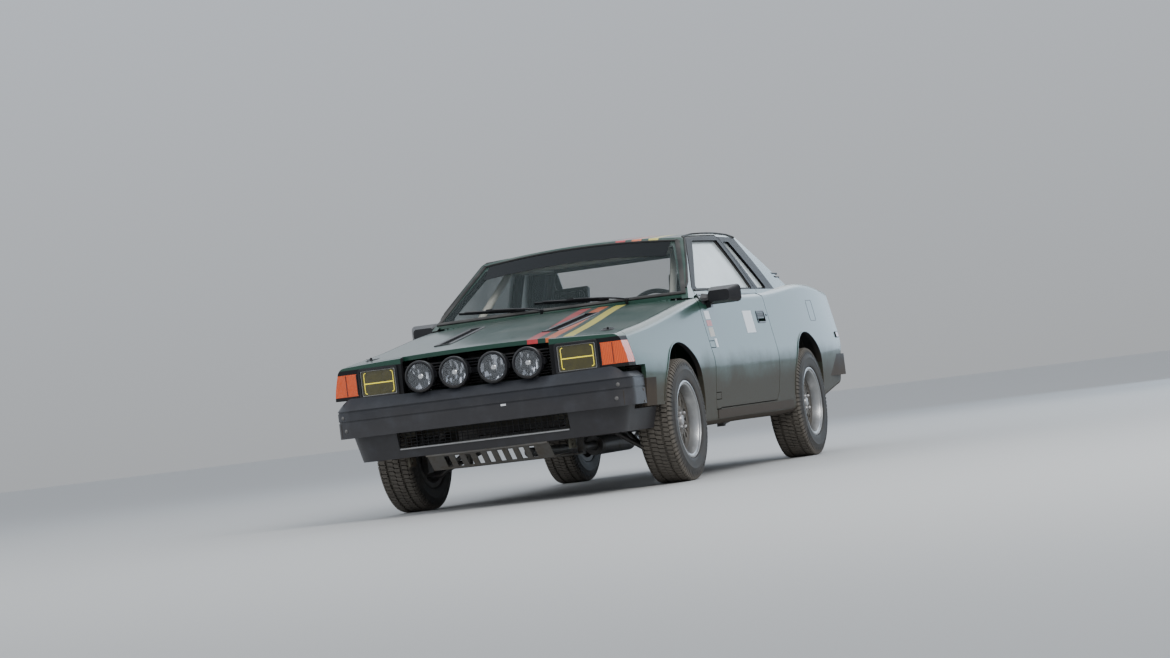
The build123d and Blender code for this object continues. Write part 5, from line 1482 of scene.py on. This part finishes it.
# Seats: a hard shell with cushions filled by a short cloth simulation
SEAT_Y = 0.355
SWELL_STEPS = 18
CHANNEL_DEPTH = 0.0085


def stuffed(name, size, thick, push, channels, turn):
    """A pad in its own flat frame: it swells under pressure, then its sewn channels are drawn in."""
    b = bmesh.new()
    x, y = size[0] / 2, size[1] / 2
    outline = rounded([(-x, -y, 0), (x, -y, 0), (x, y, 0), (-x, y, 0)], 0.035)
    rings_joined(b, [[p * scale + Vector((0, 0, h * thick)) for p in outline]
                     for scale, h in ((0.93, -0.5), (1.0, -0.3), (1.0, 0.3), (0.93, 0.5))])
    bmesh.ops.recalc_face_normals(b, faces=b.faces)
    mesh = bpy.data.meshes.new(name + "_form")
    b.to_mesh(mesh)
    b.free()
    pad = linked(name, mesh)
    scene = bpy.context.scene
    remesh = pad.modifiers.new("remesh", "REMESH")
    remesh.mode = "VOXEL"
    remesh.voxel_size = 0.006
    pad.data = bpy.data.meshes.new_from_object(pad.evaluated_get(bpy.context.evaluated_depsgraph_get()))
    pad.modifiers.clear()
    start = [v.co.copy() for v in pad.data.vertices]
    cloth = pad.modifiers.new("cloth", "CLOTH")
    cloth.settings.use_pressure = True
    cloth.settings.uniform_pressure_force = 4
    cloth.settings.effector_weights.gravity = 0
    cloth.settings.quality = 3
    for step in range(SWELL_STEPS):
        scene.frame_set(step + 1)
    swollen = bpy.data.meshes.new_from_object(pad.evaluated_get(bpy.context.evaluated_depsgraph_get()))
    pad.modifiers.clear()
    scene.frame_set(1)
    for vert, first, moved in zip(pad.data.vertices, start, swollen.vertices):
        way = moved.co - first
        vert.co = first + way * min(1.0, push / max(way.length, 1e-6))
    for vert in pad.data.vertices:
        if vert.co.z > 0:
            dip = 0.0
            for k in range(1, channels):
                line = -x + size[0] * k / channels
                dip += math.exp(-((vert.co.x - line) / 0.0055) ** 2)
            if abs(vert.co.x) < x * 0.9:
                gap = abs(abs(vert.co.y) - y * 0.66)
                dip += math.exp(-(gap / 0.005) ** 2)
            vert.co.z -= CHANNEL_DEPTH * min(dip, 1.0)
    pad.data.transform(turn)
    pad.data.shade_smooth()
    dress(pad, "seat")
    return pad


def seat_frame(side, station, z, lean):
    """A pad's frame: its length runs back and up by the lean, its width across the car."""
    along = Vector((-math.cos(lean), 0, math.sin(lean)))
    across = Vector((0, 1, 0))
    if along.cross(across).z < 0:
        across = -across
    turn = Matrix((along, across, along.cross(across))).transposed().to_4x4()
    return Matrix.Translation((at(station), side * SEAT_Y, z)) @ turn


# Columns: name, (length, width), thickness, most it may swell, channels, station, height, lean in degrees
SEAT_PADS = [
    ("base_pad", (0.335, 0.325), 0.048, 0.01, 4, 2.245, 0.484, -4.5),
    ("back_pad", (0.48, 0.325), 0.044, 0.01, 6, 2.494, 0.752, 75.0),
    ("head_pad", (0.15, 0.19), 0.034, 0.007, 1, 2.622, 1.056, 74.0),
]


# The shell's outlines seen from the side, and the shoulder straps' line, as (station, height) points
SEAT_WING = [(2.042, 0.395), (2.042, 0.548), (2.425, 0.548), (2.568, 1.0), (2.68, 0.985), (2.498, 0.366)]
SEAT_PAN = [
    (2.046, 0.397), (2.046, 0.452), (2.07, 0.46), (2.436, 0.4315), (2.59, 0.99), (2.672, 0.985),
    (2.496, 0.368),
]
SEAT_HEAD = [(2.606, 0.92), (2.65, 0.92), (2.714, 1.14), (2.668, 1.152)]
SHOULDER_STRAP = [(2.64, 0.925), (2.58, 0.995), (2.545, 0.985), (2.47, 0.76), (2.405, 0.56), (2.3, 0.523)]
# Station, distance from the seat's middle and height
LAP_BELT = [
    (2.44, -0.172, 0.5), (2.38, -0.11, 0.53), (2.29, 0, 0.53), (2.38, 0.11, 0.53),
    (2.44, 0.172, 0.5),
]
BUCKLE = [(-0.004, 0), (-0.004, 0.028), (0.008, 0.03), (0.013, 0.024), (0.014, 0)]


def across_car(b, outline, y, width):
    """A plate from an outline of (station, height) points, between y and y plus its width."""
    slab(b, [(at(s), y, z) for s, z in outline], (0, width, 0))


def make_seats():
    shell = bmesh.new()
    for side in (-1, 1):
        middle = side * SEAT_Y
        for y in (middle - 0.216, middle + 0.18):
            across_car(shell, rounded(SEAT_WING, 0.035), y, 0.036)
        across_car(shell, SEAT_PAN, middle - 0.182, 0.364)
        across_car(shell, rounded(SEAT_HEAD, 0.012), middle - 0.105, 0.21)
        for offset in (-0.13, 0.13):
            brick(shell, (at(2.265), side * SEAT_Y + offset, 0.345), (0.38, 0.03, 0.094))
    piece("seat_shells", "body", shell, "seat_shell", slot="seat_black", replaces=["seats"], bevel=0.009)
    for name, size, thick, push, channels, station, height, lean in SEAT_PADS:
        first = None
        for label, side in SIDES.items():
            turn = seat_frame(side, station, height, math.radians(lean))
            if first is None:
                made = stuffed(f"{name}_{label}", size, thick, push, channels, turn)
                first = made, turn
            else:
                mesh = first[0].data.copy()
                mesh.transform(turn @ first[1].inverted())
                made = linked(f"{name}_{label}", mesh)
            made.modifiers.new("smooth", "SUBSURF").levels = 1
            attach(made, "body")
    straps, buckles = bmesh.new(), bmesh.new()
    sideways = Vector((0, 1, 0))
    for side in (-1, 1):
        middle = side * SEAT_Y
        for offset in (-0.07, 0.07):
            way = []
            for s, z in SHOULDER_STRAP:
                reach = 0.45 if s < 2.35 else 1.0
                way.append((at(s), middle + offset * reach, z))
            points = smooth_way(way)
            spots = []
            for i, point in enumerate(points):
                after = points[min(i + 1, len(points) - 1)] - points[max(i - 1, 0)]
                out = sideways.cross(after).normalized()
                spots.append((point, out if out.x > 0 else -out))
            strip(straps, spots, 0.024, 0.0018, 0.001, crown=0.96)
        belt = smooth_way([(at(s), middle + y, z) for s, y, z in LAP_BELT])
        upward = Vector((0.3, 0, 0.95)).normalized()
        strip(straps, [(p, upward) for p in belt], 0.022, 0.0018, 0.001, crown=0.96)
        turned(buckles, BUCKLE, (at(2.29), middle, 0.53), (0.2, 0, 1), 28)
    piece("harness_straps", "body", straps, "harness", slot="seat_black")
    piece("harness_buckles", "body", buckles, "steel", slot="steel_dark")


make_seats()


# Dashboard, steering wheel and levers. Dials: distance from the middle, height, radius
DIALS = [
    (0.448, 0.88, 0.04), (0.355, 0.884, 0.046), (0.262, 0.88, 0.04), (0.182, 0.858, 0.024),
    (0.182, 0.905, 0.024), (-0.3, 0.88, 0.03),
]
DIAL_HOOD = [(1.742, 0.966), (1.8, 0.975), (1.846, 0.964), (1.852, 0.945), (1.8, 0.93)]
CENTRE_CONSOLE = [(1.7, 0.69), (1.79, 0.77), (1.85, 0.56), (1.85, 0.424), (1.7, 0.424)]
SWITCH = [(-0.004, 0), (-0.004, 0.008), (0.004, 0.008), (0.005, 0)]
LEVER_KNOB = [(-0.02, 0), (-0.018, 0.014), (0.004, 0.024), (0.018, 0.02), (0.024, 0)]
# Rings of the gear lever's boot: radius and height
LEVER_BOOT = [
    (0.066, 0.4285), (0.064, 0.436), (0.05, 0.447), (0.054, 0.452), (0.034, 0.466), (0.037, 0.472),
    (0.016, 0.492),
]
BOSS = [(0.0005, 0), (0.0005, 0.0395), (0.009, 0.038), (0.014, 0.03), (0.015, 0)]
BOSS_BOLT = [(0.008, 0), (0.008, 0.0036), (0.016, 0.0036), (0.0165, 0)]
COLUMN_RAKE = math.radians(22)


def make_dashboard():
    dials, faces, trim = (bmesh.new() for _ in range(3))
    back = Vector((-1, 0, 0.16)).normalized()
    for y, z, radius in DIALS:
        place = Vector((at(1.797), y, z))
        inner, outer = radius * 0.93, radius + 0.004
        lip = radius + 0.001
        rim = [(-0.004, radius * 0.9), (-0.004, outer), (0.008, outer), (0.011, lip), (0.011, inner)]
        turned(dials, rim, place, back, 32)
        face = [(-0.003, 0), (-0.003, radius * 0.92), (0.0025, radius * 0.92), (0.0035, 0)]
        turned(faces, face, place, back, 32)
        pivot = place + back * 0.006
        tube(dials, [pivot, pivot + Vector((0.004, radius * 0.4, radius * 0.6))], 0.0012, sides=6)
    across_car(trim, DIAL_HOOD, 0.235, 0.24)
    for row in range(3):
        brick(trim, (at(1.8), -0.28, 0.835 - row * 0.022), (0.008, 0.34, 0.01))
    for k in range(6):
        place = Vector((at(1.8), -0.06 + k * 0.032, 0.82))
        turned(trim, SWITCH, place, (-1, 0, 0), 16)
        tube(trim, [place, place + Vector((-0.02, 0, 0.008))], [0.0028, 0.004], sides=8)
    across_car(trim, CENTRE_CONSOLE, -0.085, 0.17)
    for row in range(3):
        place = Vector((at(1.826 + row * 0.009), 0, 0.672 - row * 0.05))
        brick(trim, place, (0.012, 0.15, 0.036), Matrix.Rotation(math.radians(16), 3, "Y"))
    piece("dash_dials", "body", dials, "smooth_plastic")
    piece("dial_faces", "body", faces, "dial")
    piece("dash_trim", "body", trim, "dash", bevel=0.003)


def make_levers():
    levers = bmesh.new()
    gear = [(2.06, 0.428), (2.062, 0.56), (2.085, 0.668)]
    tube(levers, smooth_way([(at(s), 0, z) for s, z in gear]), 0.007, sides=10)
    turned(levers, LEVER_KNOB, (at(2.086), 0, 0.676), (-0.1, 0, 1), 24)
    rings = []
    for radius, z in LEVER_BOOT:
        ring = []
        for k in range(20):
            angle = math.tau * k / 20
            ring.append(Vector((at(2.06) + radius * math.cos(angle), radius * 0.85 * math.sin(angle), z)))
        rings.append(ring)
    rings_joined(levers, rings)
    brake = [(2.33, 0.43), (2.3, 0.505), (2.19, 0.612)]
    tube(levers, smooth_way([(at(s), 0.055, z) for s, z in brake]), 0.01, sides=10)
    tube(levers, [(at(2.205), 0.055, 0.598), (at(2.13), 0.055, 0.66)], 0.0165, sides=14)
    piece("levers", "body", levers, "rubber")


def make_steering_boss():
    axis = Vector((-math.cos(COLUMN_RAKE), 0, math.sin(COLUMN_RAKE)))
    hub = Vector((at(2.05), 0.37, 0.88)) - axis * 0.012
    boss, bolts = bmesh.new(), bmesh.new()
    turned(boss, BOSS, hub, axis, 32)
    side = axis.orthogonal().normalized()
    for k in range(6):
        angle = math.tau * k / 6
        out = side * math.cos(angle) + axis.cross(side) * math.sin(angle)
        turned(bolts, BOSS_BOLT, hub + out * 0.033, axis, 10)
    piece("wheel_boss", "steering_wheel", boss, "smooth_plastic")
    piece("wheel_bolts", "steering_wheel", bolts, "steel")


make_dashboard()
make_levers()
make_steering_boss()


# The tail
BOOT_LOCK = [(-0.002, 0), (-0.002, 0.015), (0.0035, 0.015), (0.0055, 0.012), (0.0055, 0)]
PIPE_END = [
    (-0.07, 0.0262), (-0.07, 0.029), (0.0145, 0.029), (0.016, 0.0275), (0.015, 0.024),
    (0.003, 0.0235), (0.003, 0.0262),
]


def on_tail(y, z):
    return from_behind(tail_skin, y, z)


def make_tail():
    dark, blank, bright, pipe = (bmesh.new() for _ in range(4))
    for side in (-1, 1):
        # A frame round each lamp, and bars between its lenses
        frame_ring = rectangle((side * 0.333, 0.743), (side * 0.657, 0.887), 0.01, 0.03)
        lines = [([on_tail(p.x, p.y) for p in frame_ring], (0.006, 0.005, 0.003, True))]
        for y in (0.43, 0.545):
            upright = [on_tail(side * y, z) for z in (0.748, 0.78, 0.815, 0.85, 0.882)]
            lines.append((upright, (0.0028, 0.003, 0.002)))
        level = [on_tail(side * y, 0.798) for y in (0.338, 0.42, 0.5, 0.58, 0.652)]
        lines.append((level, (0.0022, 0.0026, 0.002)))
        for spots, section in lines:
            if all(spots):
                strip(dark, spots, *section)
        sheet_on(bright, lambda y, z: on_tail(side * y, z), (0.35, 0.424), (0.752, 0.792), lift=0.0018)
    sheet_on(blank, on_tail, (-0.15, 0.15), (0.715, 0.865), lift=0.0032, steps=(8, 3))
    turned(dark, BOOT_LOCK, *on_tail(0.0, 0.925), 28)
    for z in (0.48, 0.561):
        line = [on_tail(y, z) for y in (-0.7, -0.55, -0.4, -0.2, 0, 0.2, 0.4, 0.55, 0.7)]
        if all(line):
            strip(dark, out_of(line, -0.0036), 0.0045, 0.0035, 0.003)
    piece("tail_trim", "body", dark, "smooth_plastic")
    piece("reversing_lenses", "body", bright, "clear_lens", slot="lamp_red")
    piece("plate_blank", "body", blank, "blank")
    end = Vector((at(4.33), -0.47, 0.396))
    way = end - Vector((at(3.48), -0.33, 0.222))
    turned(pipe, PIPE_END, end, way, 32)
    piece("exhaust_tip", "body", pipe, "alloy_lip", slot="steel_dark")


# Plain shapes where the real car carries lettering: nothing is written on them
# Columns: finish, station from and to, height from and to
BLANKS = [
    ("blank", 1.508, 1.594, 0.838, 0.884),
    ("blank_red", 1.508, 1.594, 0.8, 0.832),
    ("blank_tan", 1.51, 1.592, 0.742, 0.793),
    ("blank", 1.566, 1.602, 0.682, 0.73),
    ("blank", 2.225, 2.395, 0.75, 0.876),
]
BLANK_LIFT = 0.0008


def make_blanks():
    for name in SIDES:
        for count, (finish, s0, s1, z0, z1) in enumerate(BLANKS):
            b = bmesh.new()
            if sheet_on(b, lambda s, z: on_side(name, s, z), (s0, s1), (z0, z1), lift=BLANK_LIFT):
                piece(f"blank_{name}_{count}", f"door_{name}", b, finish, slot="paint_green")
    tape = bmesh.new()
    across, up = (0.132, 0.16), (0.502, 0.5115)
    if sheet_on(tape, lambda y, z: from_front(front_skin, y, z), across, up, lift=BLANK_LIFT):
        piece("tape_patch", "body", tape, "blank")


make_tail()
make_blanks()


# Stage: a pale floor, a soft sky and four wide lamps. Columns: name, place, width, height, power, colour
LAMPS = [
    ("key", (6, 7, 8), 7, 7, 820, (1.0, 0.99, 0.97)),
    ("fill", (7, -8, 5), 8, 8, 320, (0.94, 0.97, 1.0)),
    ("back", (-9, 2, 7), 8, 8, 300, (0.9, 0.95, 1.0)),
    ("sky_left", (-15, 5.5, 3.6), 11, 6.5, 380, (0.62, 0.8, 1.0)),
]


def make_stage():
    world = bpy.data.worlds.new("studio")
    bpy.context.scene.world = world
    world.use_nodes = True
    tree = world.node_tree
    place = tree.nodes.new("ShaderNodeTexCoord")
    split = tree.nodes.new("ShaderNodeSeparateXYZ")
    ramp = tree.nodes.new("ShaderNodeValToRGB")
    horizon, sky = ramp.color_ramp.elements
    horizon.position = 0.44
    horizon.color = (0.42, 0.42, 0.41, 1)
    sky.position = 0.62
    sky.color = (0.8, 0.86, 0.95, 1)
    half = tree.nodes.new("ShaderNodeMapRange")
    half.inputs["From Min"].default_value = -1
    tree.links.new(place.outputs["Generated"], split.inputs[0])
    tree.links.new(split.outputs[2], half.inputs["Value"])
    tree.links.new(half.outputs[0], ramp.inputs[0])
    background = tree.nodes["Background"]
    tree.links.new(ramp.outputs[0], background.inputs[0])
    background.inputs[1].default_value = 0.85

    floor_mesh = bpy.data.meshes.new("floor")
    builder = bmesh.new()
    bmesh.ops.create_circle(builder, cap_ends=True, segments=96, radius=90)
    builder.to_mesh(floor_mesh)
    builder.free()
    floor = linked("floor", floor_mesh)
    pale = Finish("pale_floor", base_color=(0.52, 0.52, 0.51), roughness=0.7)
    floor_mesh.materials.append(pale.material)

    for name, place, size, high, power, colour in LAMPS:
        data = bpy.data.lights.new(name, "AREA")
        data.shape = "RECTANGLE"
        data.size = size
        data.size_y = high
        data.energy = power
        data.color = colour
        lamp = linked(name, data)
        lamp.location = place
        lamp.rotation_euler = (Vector((0, 0, 0.6)) - Vector(place)).to_track_quat("-Z", "Y").to_euler()


make_stage()
